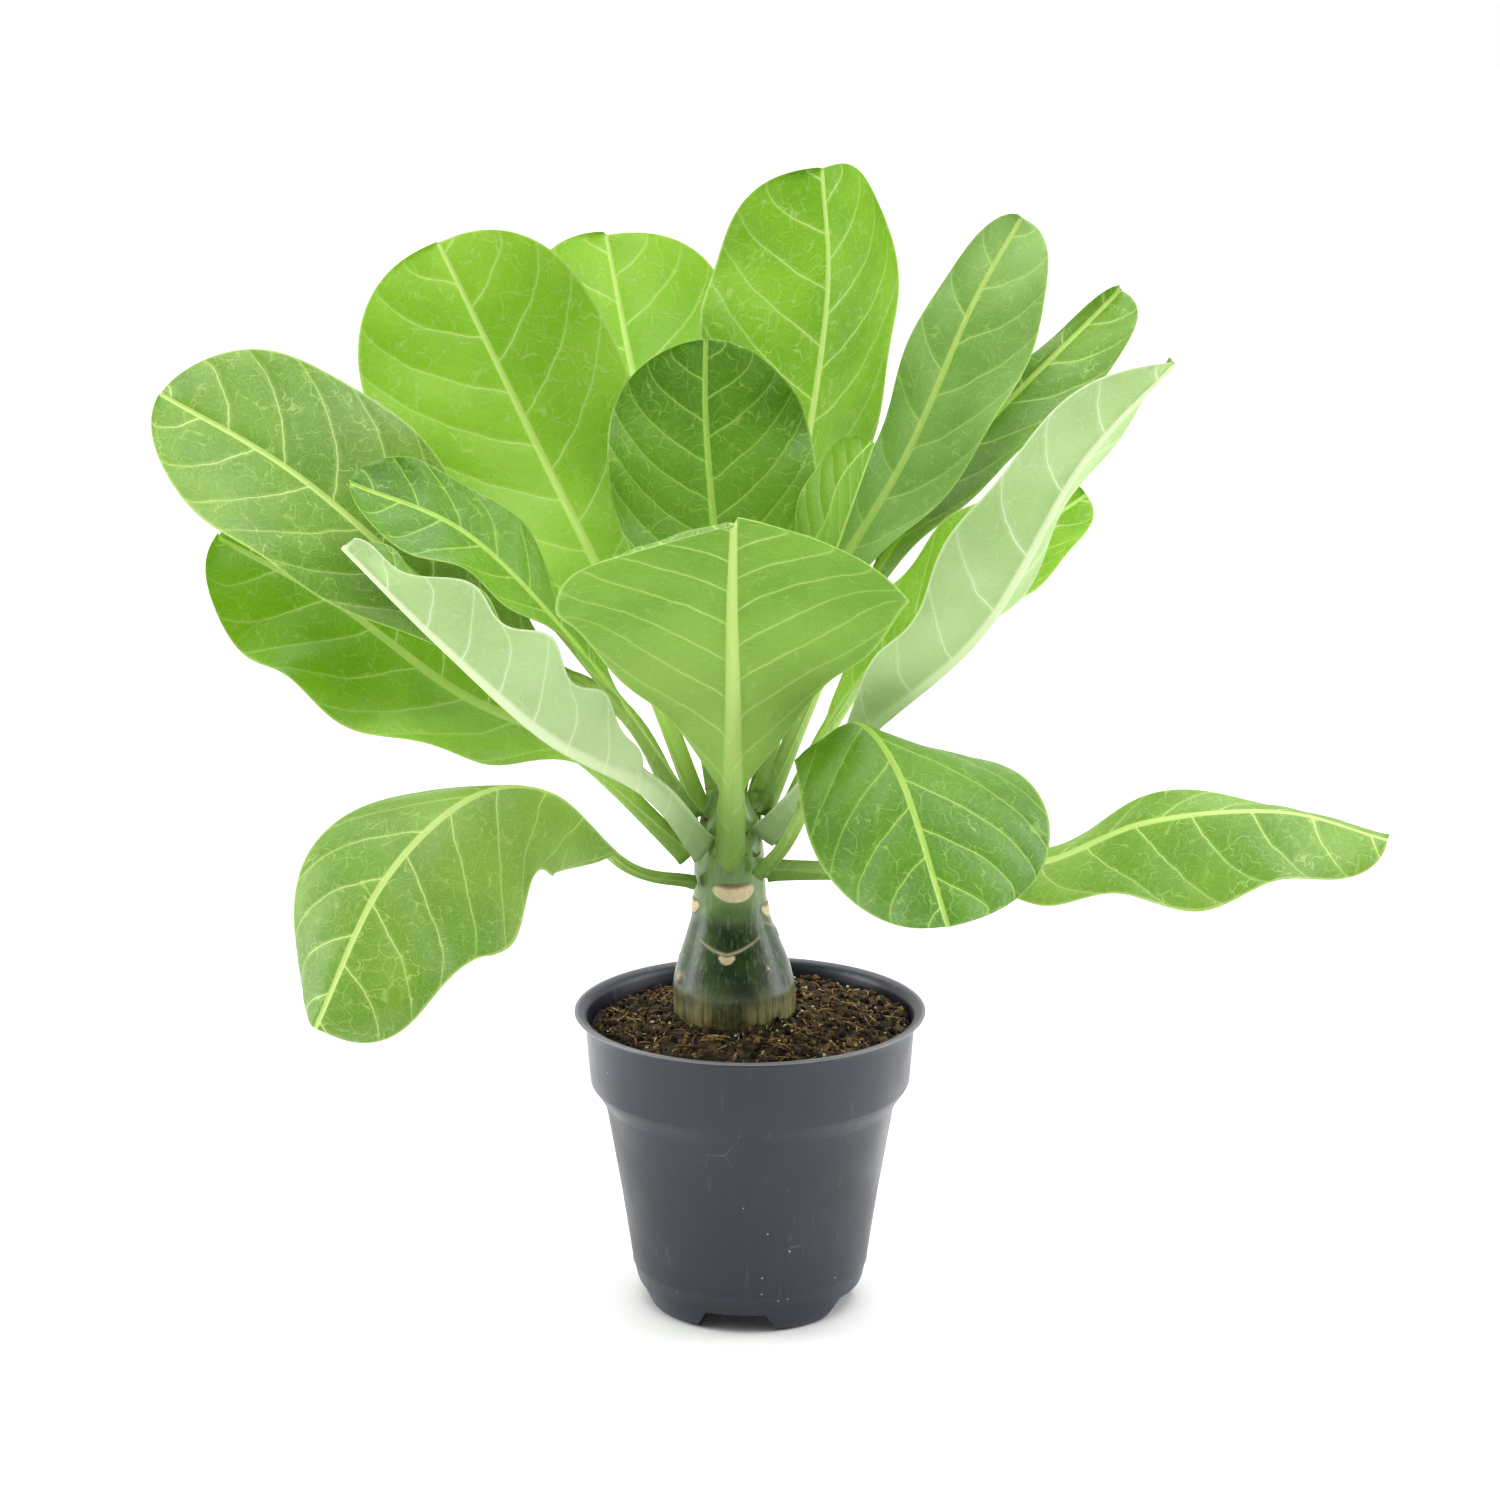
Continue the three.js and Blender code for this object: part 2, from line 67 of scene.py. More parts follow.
# ---------- stem ----------
STEM_COLUMNS = 180
STEM_ROWS = 260
STEM_BASE_X = -5
CROWN_X = -7
CROWN_BASE = 150
STEM_PROFILE = [
    (9, 80), (15, 83), (19, 92), (21.3, 105), (21.2, 113), (19.5, 120), (16.5, 128),
    (13.8, 136), (12.8, 143), (12.4, 150), (12, 160), (10, 171), (6, 180), (2.5, 185),
]

# ---------- leaves ----------
PETIOLE_STATIONS = 16
BLADE_STATIONS = 84
RIB_COLUMNS = 4
HALF_COLUMNS = 24
WIDTH_SHARE = 0.992
TIP_HALF_WIDTH = 1.2
BLADE_THICKNESS = 0.9
MARGIN_THICKNESS = 0.35
KEEL_DEPTH_SHARE = 1.05
KEEL_DEPTH_AT_TIP = 0.4
VEINS_A_SIDE = 8
QUILT_HEIGHT = 0.55

# One row a leaf, repeating the model's own. The rib is the midrib from the stem to the tip, each
# point [heading, reach, height]: heading in degrees from +X turning towards +Y, reach from the
# crown's axis. petiole is the bare part of the length, shape the two powers that swell and close
# the outline, halves the shares of the half width on the left and right, stalk the petiole's half
# width. roll turns the blade about its rib; fold and curl bend each half upwards from the rib, in
# degrees; wave is the margin's [height, number of waves, start].
LEAVES = [
    {
        "name": "leaf_01",
        "rib": [
            [212, 13.3, 153], [205, 36, 160], [211, 66, 188],
            [214, 98, 192], [216, 133, 170], [217, 160, 128],
        ],
        "width": 92, "petiole": 0.17, "shape": [0.6, 0.4], "roll": [0, -5, -15, -20],
        "halves": [0.9, 0.72], "stalk": 3.5,
        "left_fold": [-20, -30, -10], "left_curl": [-40, -40, -30], "left_wave": [6, 2.2, 0.45],
        "right_fold": [-30, -20, 10, 0], "right_curl": [-60, 10, -30, -50], "right_wave": [5, 1.6, 0.1],
    },
    {
        "name": "leaf_02",
        "rib": [
            [348, 13.4, 154], [350, 66, 156], [344, 106, 163],
            [340, 143, 182], [339, 186, 190], [339, 220, 184],
        ],
        "width": 80, "petiole": 0.28, "shape": [0.95, 0.5], "roll": [0],
        "halves": [0.36, 0.83], "stalk": 3.5,
        "left_fold": [30, 20, -20], "left_curl": [10, -10], "left_wave": [2, 2.2, 0.1],
        "right_fold": [5, -38, -25], "right_curl": [0, -20], "right_wave": [3, 2.5, 0.2],
    },
    {
        "name": "leaf_03",
        "rib": [
            [314, 13.2, 157], [306, 31, 172], [304, 54, 202],
            [303, 74, 218], [304, 96, 204], [304, 121, 162],
        ],
        "width": 96, "petiole": 0.2, "shape": [0.95, 0.42], "roll": [0, 5, 10],
        "halves": [1.1, 0.7], "stalk": 3.5,
        "left_fold": [-45, -38, -8, 0], "left_curl": [-30, -20, -10], "left_wave": [2, 1.6, 0.1],
        "right_fold": [-20, -10, 0], "right_curl": [-30, -20, 0], "right_wave": [3, 1.5, 0.6],
    },
    {
        "name": "leaf_04",
        "rib": [[191, 13.2, 159], [184, 52, 195], [176, 92, 213], [173, 133, 241], [172, 174, 262]],
        "width": 86, "petiole": 0.2, "shape": [0.8, 0.45], "roll": [-10, -50, -50],
        "halves": [0.85, 1], "stalk": 4,
        "left_fold": [15, 5], "left_curl": [10, 0], "left_wave": [6, 3.2, 0.1],
        "right_fold": [15, 5], "right_curl": [10, 0], "right_wave": [4, 3.2, 0.1],
    },
    {
        "name": "leaf_05",
        "rib": [[228, 13.2, 163], [233, 43, 190], [229, 85, 214], [226, 122, 247], [222, 152, 280]],
        "width": 44, "petiole": 0.25, "shape": [0.6, 0.6], "roll": [0, -5, -20],
        "halves": [1, 1], "stalk": 4.5,
        "left_fold": [35, 50, 30], "left_curl": [30, 20], "left_wave": [3, 4, 0.2],
        "right_fold": [60, 70, 20], "right_curl": [10, 10], "right_wave": [3, 4, 0.6],
    },
    {
        "name": "leaf_06",
        "rib": [[167, 13, 167], [178, 36, 208], [181, 80, 233], [181, 140, 286], [181, 185, 314]],
        "width": 76, "petiole": 0.28, "shape": [1, 0.5], "roll": [0, -45, -50],
        "halves": [1, 1], "stalk": 3.5,
        "left_fold": [20, 10], "left_curl": [10, -10], "left_wave": [2, 3, 0.3],
        "right_fold": [20, 10], "right_curl": [10, -10], "right_wave": [2, 3, 0.6],
    },
    {
        "name": "leaf_07",
        "rib": [[330, 13, 167], [324, 54, 208], [319, 104, 249], [320, 137, 302], [323, 164, 334]],
        "width": 84, "petiole": 0.2, "shape": [0.8, 0.6], "roll": [0, 0],
        "halves": [0.4, 0.58], "stalk": 4,
        "left_fold": [30, 15, 10], "left_curl": [0, -10], "left_wave": [2, 3, 0.3],
        "right_fold": [30, 28, 20], "right_curl": [30, 10], "right_wave": [2, 3, 0.6],
    },
    {
        "name": "leaf_08",
        "rib": [[0, 13, 163], [6, 45, 218], [4, 95, 262], [3.4, 118.6, 279.4]],
        "width": 70, "petiole": 0.25, "shape": [1, 0.5], "roll": [0, 30],
        "halves": [0.72, 1.2], "stalk": 3.5,
        "left_fold": [20, 10], "left_curl": [10, 10], "left_wave": [2, 3, 0.3],
        "right_fold": [20, 10], "right_curl": [10, 10], "right_wave": [2, 3, 0.6],
    },
    {
        "name": "leaf_09",
        "rib": [[24, 11.6, 171], [34, 48, 232], [35, 96, 285], [31, 160, 341]],
        "width": 66, "petiole": 0.28, "shape": [1, 0.5], "roll": [0, 40],
        "halves": [0.2, 1], "stalk": 3.5,
        "left_fold": [20, 20], "left_curl": [20, 20], "left_wave": [2, 3, 0.3],
        "right_fold": [20, 20], "right_curl": [20, 20], "right_wave": [2, 3, 0.6],
    },
    {
        "name": "leaf_10",
        "rib": [[56, 12.5, 167], [46, 38, 230], [37, 75, 286], [34, 100, 337], [32, 118, 367]],
        "width": 66, "petiole": 0.3, "shape": [1, 0.5], "roll": [0, 35],
        "halves": [0.45, 1], "stalk": 3.5,
        "left_fold": [10, 10], "left_curl": [10, 15], "left_wave": [2, 3, 0.3],
        "right_fold": [10, 10], "right_curl": [10, 15], "right_wave": [2, 3, 0.6],
    },
    {
        "name": "leaf_11",
        "rib": [[80, 10.4, 175], [60, 38, 250], [62, 71, 335], [67, 82, 383]],
        "width": 92, "petiole": 0.3, "shape": [0.85, 0.4], "roll": [0, 0],
        "halves": [1, 1], "stalk": 3.5,
        "left_fold": [10, 0], "left_curl": [10, 5], "left_wave": [2, 3, 0.3],
        "right_fold": [10, 30], "right_curl": [10, 25], "right_wave": [2, 3, 0.6],
    },
    {
        "name": "leaf_12",
        "rib": [[105, 12.6, 167], [108, 58, 246], [109, 105, 306], [109, 140, 357]],
        "width": 84, "petiole": 0.3, "shape": [1, 0.5], "roll": [0, -10],
        "halves": [1, 1], "stalk": 3.5,
        "left_fold": [10, 10], "left_curl": [10, 10], "left_wave": [2, 3, 0.3],
        "right_fold": [10, 10], "right_curl": [10, 10], "right_wave": [2, 3, 0.6],
    },
    {
        "name": "leaf_13",
        "rib": [[138, 12, 170], [138, 42, 222], [139, 85, 284], [145, 123, 358]],
        "width": 96, "petiole": 0.24, "shape": [0.9, 0.42], "roll": [0, -35, -40],
        "halves": [1.05, 0.85], "stalk": 3.5,
        "left_fold": [10, 5], "left_curl": [10, 10], "left_wave": [2, 3, 0.3],
        "right_fold": [10, 5], "right_curl": [10, 10], "right_wave": [2, 3, 0.6],
    },
    {
        "name": "leaf_14",
        "rib": [[200, 11.2, 173], [190, 42, 220], [190, 84, 268], [191, 124, 288]],
        "width": 52, "petiole": 0.25, "shape": [1, 0.5], "roll": [0, -40],
        "halves": [1, 0.72], "stalk": 3.5,
        "left_fold": [10, 0], "left_curl": [10, 10], "left_wave": [2, 3, 0.3],
        "right_fold": [15, 10], "right_curl": [10, 10], "right_wave": [2, 3, 0.6],
    },
    {
        "name": "leaf_15",
        "rib": [[272, 13.4, 160], [272, 44, 210], [271, 90, 259], [271, 134, 292]],
        "width": 108, "petiole": 0.12, "shape": [1.25, 0.45], "roll": [0, 0],
        "halves": [1, 1], "stalk": 5,
        "left_fold": [25, 5], "left_curl": [-10, -40], "left_wave": [2, 3, 0.3],
        "right_fold": [25, 5], "right_curl": [-10, -40], "right_wave": [2, 3, 0.6],
    },
    {
        "name": "leaf_16",
        "rib": [[125, 8.2, 180], [104, 15, 240], [108, 25, 300], [108, 25, 329]],
        "width": 72, "petiole": 0.28, "shape": [0.8, 0.5], "roll": [0, -10],
        "halves": [1, 1], "stalk": 2.8,
        "left_fold": [10, 5], "left_curl": [10, 5], "left_wave": [2, 3, 0.3],
        "right_fold": [10, 5], "right_curl": [10, 5], "right_wave": [2, 3, 0.6],
    },
    {
        "name": "leaf_17",
        "rib": [[366, 8.6, 180], [354, 28, 245], [349, 47, 299]],
        "width": 50, "petiole": 0.3, "shape": [1, 0.5], "roll": [0, 20],
        "halves": [1, 1], "stalk": 2.8,
        "left_fold": [20, 20], "left_curl": [20, 10], "left_wave": [1, 3, 0.3],
        "right_fold": [20, 20], "right_curl": [20, 10], "right_wave": [1, 3, 0.6],
    },
    {
        "name": "leaf_18",
        "rib": [[300, 7.6, 182], [300, 13, 205], [300, 17, 226]],
        "width": 20, "petiole": 0.3, "shape": [1, 0.5], "roll": [0],
        "halves": [1, 1], "stalk": 1.4,
        "left_fold": [30, 30], "left_curl": [20, 20], "left_wave": [0.5, 2, 0.3],
        "right_fold": [30, 30], "right_curl": [20, 20], "right_wave": [0.5, 2, 0.6],
    },
    {
        "name": "leaf_19",
        "rib": [[215, 7.6, 182], [215, 10, 202], [215, 13, 219]],
        "width": 16, "petiole": 0.3, "shape": [1, 0.5], "roll": [0],
        "halves": [1, 1], "stalk": 1.2,
        "left_fold": [30, 30], "left_curl": [20, 20], "left_wave": [0.5, 2, 0.3],
        "right_fold": [30, 30], "right_curl": [20, 20], "right_wave": [0.5, 2, 0.6],
    },
]


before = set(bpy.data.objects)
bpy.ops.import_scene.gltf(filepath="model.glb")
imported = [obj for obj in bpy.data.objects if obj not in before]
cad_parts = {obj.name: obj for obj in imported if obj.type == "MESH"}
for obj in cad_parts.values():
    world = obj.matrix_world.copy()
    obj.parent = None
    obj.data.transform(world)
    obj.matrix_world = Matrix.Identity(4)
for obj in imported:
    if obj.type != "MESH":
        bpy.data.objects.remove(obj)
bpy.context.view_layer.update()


# ---------- shared mesh helpers ----------
def make_object(name, vertices, faces, materials, face_materials=None, attributes=None, smooth=True):
    """A mesh object from millimetre coordinates, with one float a vertex for each attribute."""
    mesh = bpy.data.meshes.new(name)
    mesh.from_pydata((np.asarray(vertices, float) * MM).tolist(), [], faces)
    for material in materials:
        mesh.materials.append(material)
    if face_materials is not None:
        mesh.polygons.foreach_set("material_index", face_materials)
    mesh.polygons.foreach_set("use_smooth", [smooth] * len(mesh.polygons))
    for key, values in (attributes or {}).items():
        layer = mesh.attributes.new(key, "FLOAT", "POINT")
        layer.data.foreach_set("value", np.asarray(values, dtype=np.float32))
    mesh.update()
    thing = bpy.data.objects.new(name, mesh)
    bpy.context.scene.collection.objects.link(thing)
    return thing


def loft(rings, close_ends=True):
    """Vertices and faces through rings (rings x points x 3) that turn anticlockwise seen from the next."""
    rows, count = rings.shape[:2]
    vertices = rings.reshape(-1, 3)
    faces = []
    for i in range(rows - 1):
        for j in range(count):
            a = i * count + j
            b = i * count + (j + 1) % count
            faces.append((a, b, b + count, a + count))
    if close_ends:
        middles = np.array([rings[0].mean(axis=0), rings[-1].mean(axis=0)])
        first = len(vertices)
        last = (rows - 1) * count
        vertices = np.concatenate([vertices, middles])
        for j in range(count):
            faces.append((first, (j + 1) % count, j))
            faces.append((first + 1, last + j, last + (j + 1) % count))
    return vertices, faces


def read_profile(knots, s):
    """Smooth values at s (0..1) of knots spread evenly over that range."""
    knots = np.atleast_1d(np.asarray(knots, float))
    s = np.asarray(s, float)
    last = len(knots) - 1
    if last == 0:
        return np.full(s.shape, knots[0])
    place = np.clip(s, 0, 1) * last
    i = np.minimum(np.floor(place).astype(int), last - 1)
    f = place - i
    p1 = knots[i]
    p2 = knots[i + 1]
    p0 = np.where(i == 0, 2 * p1 - p2, knots[np.maximum(i - 1, 0)])
    p3 = np.where(i == last - 1, 2 * p2 - p1, knots[np.minimum(i + 2, last)])
    linear = (p2 - p0) * f
    square = (2 * p0 - 5 * p1 + 4 * p2 - p3) * f**2
    cube = (3 * p1 - p0 - 3 * p2 + p3) * f**3
    return 0.5 * (2 * p1 + linear + square + cube)


def smoothstep(low, high, value):
    t = np.clip((np.asarray(value, float) - low) / (high - low), 0, 1)
    return t * t * (3 - 2 * t)


def lumps(x, y, z, size):
    """Smooth noise from -1 to 1 with lumps of that size in millimetres."""
    return noise.noise(Vector((x / size, y / size, z / size)))


def circle(radius, height, centre_x, count):
    angle = np.arange(count) * 2 * math.pi / count
    x = centre_x + radius * np.cos(angle)
    return np.stack([x, radius * np.sin(angle), np.full(count, float(height))], axis=1)


# ---------- materials ----------
def srgb(red, green, blue):
    """Linear colour with alpha from the usual 0..255 numbers."""
    linear = []
    for channel in (red, green, blue):
        share = channel / 255
        linear.append(share / 12.92 if share <= 0.04045 else ((share + 0.055) / 1.055) ** 2.4)
    return (*linear, 1.0)


class Graph:
    """Short names for the shader nodes that the materials below are made of."""

    def __init__(self, name):
        self.material = bpy.data.materials.new(name)
        self.material.use_nodes = True
        self.tree = self.material.node_tree
        self.tree.nodes.clear()

    def feed(self, socket, value):
        if isinstance(value, bpy.types.NodeSocket):
            self.tree.links.new(value, socket)
        else:
            socket.default_value = value

    def node(self, kind, inputs=None, **settings):
        made = self.tree.nodes.new(kind)
        for key, value in settings.items():
            setattr(made, key, value)
        for key, value in (inputs or {}).items():
            self.feed(made.inputs[key], value)
        return made

    def math(self, operation, first, second=0.0):
        return self.node("ShaderNodeMath", {0: first, 1: second}, operation=operation).outputs[0]

    def ramp(self, value, low, high, start=0.0, end=1.0):
        inputs = {"Value": value, "From Min": low, "From Max": high, "To Min": start, "To Max": end}
        return self.node("ShaderNodeMapRange", inputs, interpolation_type="SMOOTHSTEP").outputs[0]

    def mix(self, factor, first, second, blend="MIX"):
        made = self.node("ShaderNodeMix", data_type="RGBA", blend_type=blend)
        self.feed(made.inputs[0], factor)
        self.feed(made.inputs[6], first)
        self.feed(made.inputs[7], second)
        return made.outputs[2]

    def attribute(self, name):
        return self.node("ShaderNodeAttribute", attribute_name=name).outputs["Fac"]

    def object_point(self, scale=(1, 1, 1)):
        place = self.node("ShaderNodeTexCoord").outputs["Object"]
        return self.node("ShaderNodeMapping", {"Vector": place, "Scale": scale}).outputs[0]

    def noise(self, point, scale, detail=3.0, roughness=0.5):
        inputs = {"Vector": point, "Scale": scale, "Detail": detail, "Roughness": roughness}
        return self.node("ShaderNodeTexNoise", inputs).outputs["Fac"]

    def cell_edges(self, point, scale):
        inputs = {"Vector": point, "Scale": scale}
        return self.node("ShaderNodeTexVoronoi", inputs, feature="DISTANCE_TO_EDGE").outputs["Distance"]

    def cells(self, point, scale):
        return self.node("ShaderNodeTexVoronoi", {"Vector": point, "Scale": scale}).outputs["Distance"]

    def bump(self, height, strength, distance, normal=None):
        inputs = {"Height": height, "Strength": strength, "Distance": distance}
        if normal is not None:
            inputs["Normal"] = normal
        return self.node("ShaderNodeBump", inputs).outputs[0]

    def principled(self, colour, roughness, normal, specular=0.5):
        inputs = {"Base Color": colour, "Roughness": roughness, "Normal": normal}
        inputs["Specular IOR Level"] = specular
        return self.node("ShaderNodeBsdfPrincipled", inputs).outputs[0]

    def finish(self, shader):
        self.node("ShaderNodeOutputMaterial", {"Surface": shader})
        return self.material


def vein_masks(g, point, margin, under):
    """How strongly the side veins, their halo and swelling, the midrib and the two nets show."""
    warp = g.node("ShaderNodeTexNoise", {"Vector": point, "Scale": 0.11, "Detail": 3.0}).outputs["Color"]
    bent = g.node("ShaderNodeVectorMath", {0: warp, 1: (14.0, 14.0, 0.0)}, operation="MULTIPLY").outputs[0]
    net_point = g.node("ShaderNodeVectorMath", {0: point, 1: bent}, operation="ADD").outputs[0]

    wobble = g.math("MULTIPLY", g.math("SUBTRACT", g.noise(point, 0.08, 3.0), 0.5), 0.2)
    phase = g.math("ADD", g.attribute("phase"), wobble)
    off_line = g.math("ABSOLUTE", g.math("SUBTRACT", g.math("FRACT", phase), 0.5))
    thinned = g.math("ADD", off_line, g.math("MULTIPLY", margin, 0.012))
    side_vein = g.ramp(thinned, 0.009, 0.026, 1.0, 0.0)
    side_halo = g.ramp(off_line, 0.01, 0.1, 0.14, 0.0)
    side_swell = g.ramp(off_line, 0.0, 0.2, 1.0, 0.0)
    rib_low, rib_high = (0.7, 1.0) if under else (0.5, 0.85)
    midrib = g.ramp(g.attribute("rib"), rib_low, rib_high, 1.0, 0.0)
    net = g.ramp(g.cell_edges(net_point, 0.15), 0.008, 0.034, 1.0, 0.0)
    fine_net = g.ramp(g.cell_edges(net_point, 0.42), 0.012, 0.08, 1.0, 0.0)
    return side_vein, side_halo, side_swell, midrib, net, fine_net


def leaf_material(name, green, deep, vein, painted_sheen, light_through, under, seed):
    """Waxy leaf skin with midrib, side veins, a fine net of veins and a pale margin."""
    g = Graph(name)
    along = g.attribute("along")
    across = g.attribute("across")
    margin = g.attribute("margin")
    point = g.node("ShaderNodeCombineXYZ", {"X": along, "Y": across, "Z": seed}).outputs[0]
    side_vein, side_halo, side_swell, midrib, net, fine_net = vein_masks(g, point, margin, under)
    edge = g.ramp(margin, 0.97, 0.995, 0.0, 1.0)

    broad = g.noise(point, 0.03, 2.0)
    tone = g.mix(g.ramp(broad, 0.3, 0.7), deep, green)
    grain = g.noise(point, 0.9, 4.0, 0.6)
    tone = g.mix(g.ramp(grain, 0.25, 0.75, 0.0, 0.22), tone, deep)
    tone = g.mix(g.ramp(along, 60, 150, 0.2, 0.0), tone, vein)
    # Painted sheen: a whitish film mixed into the colour, standing in for the reflection of the bright
    # surroundings.
    tone = g.mix(painted_sheen, tone, srgb(206, 222, 190))
    broken = g.ramp(g.noise(point, 0.2, 3.0), 0.35, 0.6, 0.25, 1.0)
    net_share = g.math("ADD", g.math("MULTIPLY", net, broken), g.math("MULTIPLY", fine_net, 0.42))
    tone = g.mix(g.math("MULTIPLY", net_share, 0.18 if under else 0.36), tone, vein)
    tone = g.mix(side_halo, tone, vein)
    tone = g.mix(g.math("MULTIPLY", side_vein, 0.7 if under else 0.85), tone, vein)
    tone = g.mix(g.math("MULTIPLY", edge, 0.5), tone, vein)
    rib_share = g.ramp(along, 15, 90, 0.15 if under else 0.3, 0.9)
    tone = g.mix(g.math("MULTIPLY", midrib, rib_share), tone, vein)
    # Painted shade: the petiole and the blade's base turn darker green towards the crown, where the rosette
    # shades them.
    tone = g.mix(g.ramp(along, 0, 45, 0.55, 0.0), tone, srgb(70, 106, 24))

    lines = g.math("ADD", g.math("MULTIPLY", side_swell, 0.7), g.math("MULTIPLY", net, 0.2))
    relief = g.math("MULTIPLY", lines, 1.0 if under else -1.0)
    skin = g.bump(g.noise(point, 2.4, 3.0), 0.12, 0.0003)
    normal = g.bump(relief, 0.5, 0.0005, skin)
    roughness = g.ramp(grain, 0.2, 0.8, 0.5 if under else 0.34, 0.62 if under else 0.46)
    solid = g.principled(tone, roughness, normal, 0.25 if under else 0.5)
    glow = g.mix(0.55, tone, srgb(186, 226, 34))
    through = g.node("ShaderNodeBsdfTranslucent", {"Color": glow}).outputs[0]
    both = g.node("ShaderNodeMixShader", {0: light_through, 1: solid, 2: through}).outputs[0]
    return g.finish(both)


def stem_material():
    """Smooth green bark: pale dry scars, tan foot, fine upright streaks and a waxy shine."""
    g = Graph("stem_skin")
    point = g.object_point()
    streak_point = g.object_point((1, 1, 0.12))
    streaks = g.noise(streak_point, 900, 4.0, 0.6)
    patches = g.noise(point, 90, 4.0)
    tone = g.mix(g.ramp(patches, 0.35, 0.65), srgb(26, 44, 18), srgb(44, 70, 28))
    tone = g.mix(g.math("MULTIPLY", g.attribute("neck"), 0.85), tone, srgb(92, 124, 52))
    tone = g.mix(g.ramp(streaks, 0.5, 0.75, 0.0, 0.4), tone, srgb(128, 142, 112))
    foot_streaks = g.ramp(g.noise(streak_point, 620, 5.0, 0.7), 0.32, 0.6, 0.2, 1.0)
    mottled = g.math("MULTIPLY", g.attribute("foot"), foot_streaks)
    mottled = g.math("MULTIPLY", mottled, g.ramp(patches, 0.38, 0.6, 0.3, 0.95))
    tone = g.mix(mottled, tone, srgb(166, 150, 106))
    cork = g.mix(g.noise(point, 700, 5.0, 0.7), srgb(168, 146, 104), srgb(226, 212, 176))
    tone = g.mix(g.attribute("scar"), tone, cork)
    tone = g.mix(g.attribute("rust"), tone, srgb(96, 48, 24))
    dry = g.mix(g.noise(point, 500, 4.0), srgb(40, 26, 16), srgb(122, 92, 54))
    tone = g.mix(g.attribute("dry"), tone, dry)
    specks = g.ramp(g.cells(point, 420), 0.06, 0.14, 0.8, 0.0)
    tone = g.mix(g.math("MULTIPLY", specks, g.ramp(patches, 0.5, 0.6)), tone, srgb(46, 40, 24))
    rough = g.math("ADD", 0.3, g.math("MULTIPLY", g.attribute("scar"), 0.4))
    rough = g.math("ADD", rough, g.math("MULTIPLY", g.attribute("dry"), 0.4))
    fine = g.bump(streaks, 0.25, 0.0003)
    normal = g.bump(g.math("MULTIPLY", g.noise(point, 800, 5.0, 0.7), g.attribute("scar")), 0.8, 0.0006, fine)
    return g.finish(g.principled(tone, rough, normal, 0.45))


def soil_material():
    """Peat: black crumbs, brown and tan fibres and a few pale grains, told apart by tone."""
    g = Graph("peat_grains")
    point = g.object_point()
    grain = g.noise(point, 1500, 5.0, 0.7)
    value = g.math("ADD", g.attribute("tone"), g.math("MULTIPLY", g.math("SUBTRACT", grain, 0.5), 0.5))
    ramp = g.node("ShaderNodeValToRGB", {"Fac": value})
    stops = [
        (0.0, srgb(16, 11, 8)), (0.3, srgb(40, 30, 20)), (0.55, srgb(86, 66, 43)),
        (0.75, srgb(140, 112, 70)), (0.9, srgb(178, 148, 100)), (1.0, srgb(226, 214, 186)),
    ]
    ramp.color_ramp.elements[0].color = stops[0][1]
    ramp.color_ramp.elements[1].position = 1.0
    ramp.color_ramp.elements[1].color = stops[-1][1]
    for place, colour in stops[1:-1]:
        ramp.color_ramp.elements.new(place).color = colour
    normal = g.bump(grain, 0.8, 0.0006)
    return g.finish(g.principled(ramp.outputs[0], 0.9, normal, 0.25))


def pot_material():
    """Dark blue-grey moulded plastic with a soft shine, dust specks, scuffs and water marks."""
    g = Graph("pot_plastic")
    point = g.object_point()
    cloud = g.noise(point, 28, 4.0)
    tone = g.mix(g.ramp(cloud, 0.3, 0.7), srgb(12, 18, 34), srgb(18, 26, 46))
    run_point = g.object_point((1, 1, 0.06))
    runs = g.ramp(g.noise(run_point, 260, 4.0, 0.6), 0.62, 0.8, 0.0, 0.22)
    tone = g.mix(runs, tone, srgb(120, 126, 134))
    dust = g.math("MULTIPLY", g.ramp(g.cells(point, 190), 0.035, 0.075, 1.0, 0.0), g.ramp(cloud, 0.48, 0.6))
    fine_dust = g.ramp(g.cells(point, 700), 0.05, 0.12, 1.0, 0.0)
    fine_dust = g.math("MULTIPLY", fine_dust, g.ramp(cloud, 0.5, 0.62, 0, 0.5))
    tone = g.mix(g.math("MULTIPLY", dust, 0.8), tone, srgb(190, 190, 184))
    tone = g.mix(g.math("MULTIPLY", fine_dust, 0.6), tone, srgb(150, 152, 152))
    tone = g.mix(g.math("MULTIPLY", g.attribute("lip"), 0.5), tone, srgb(150, 152, 152))
    scratch_point = g.object_point((1, 1, 0.2))
    scratch = g.ramp(g.cell_edges(scratch_point, 75), 0.0, 0.012, 1.0, 0.0)
    scratch = g.math("MULTIPLY", scratch, g.ramp(g.noise(point, 60, 2.0), 0.6, 0.68, 0.0, 0.1))
    tone = g.mix(scratch, tone, srgb(150, 154, 160))
    rough = g.ramp(g.noise(point, 45, 4.0), 0.3, 0.7, 0.3, 0.42)
    pebble = g.bump(g.noise(point, 1800, 2.0), 0.1, 0.0002)
    normal = g.bump(cloud, 0.12, 0.001, pebble)
    return g.finish(g.principled(tone, rough, normal, 0.5))


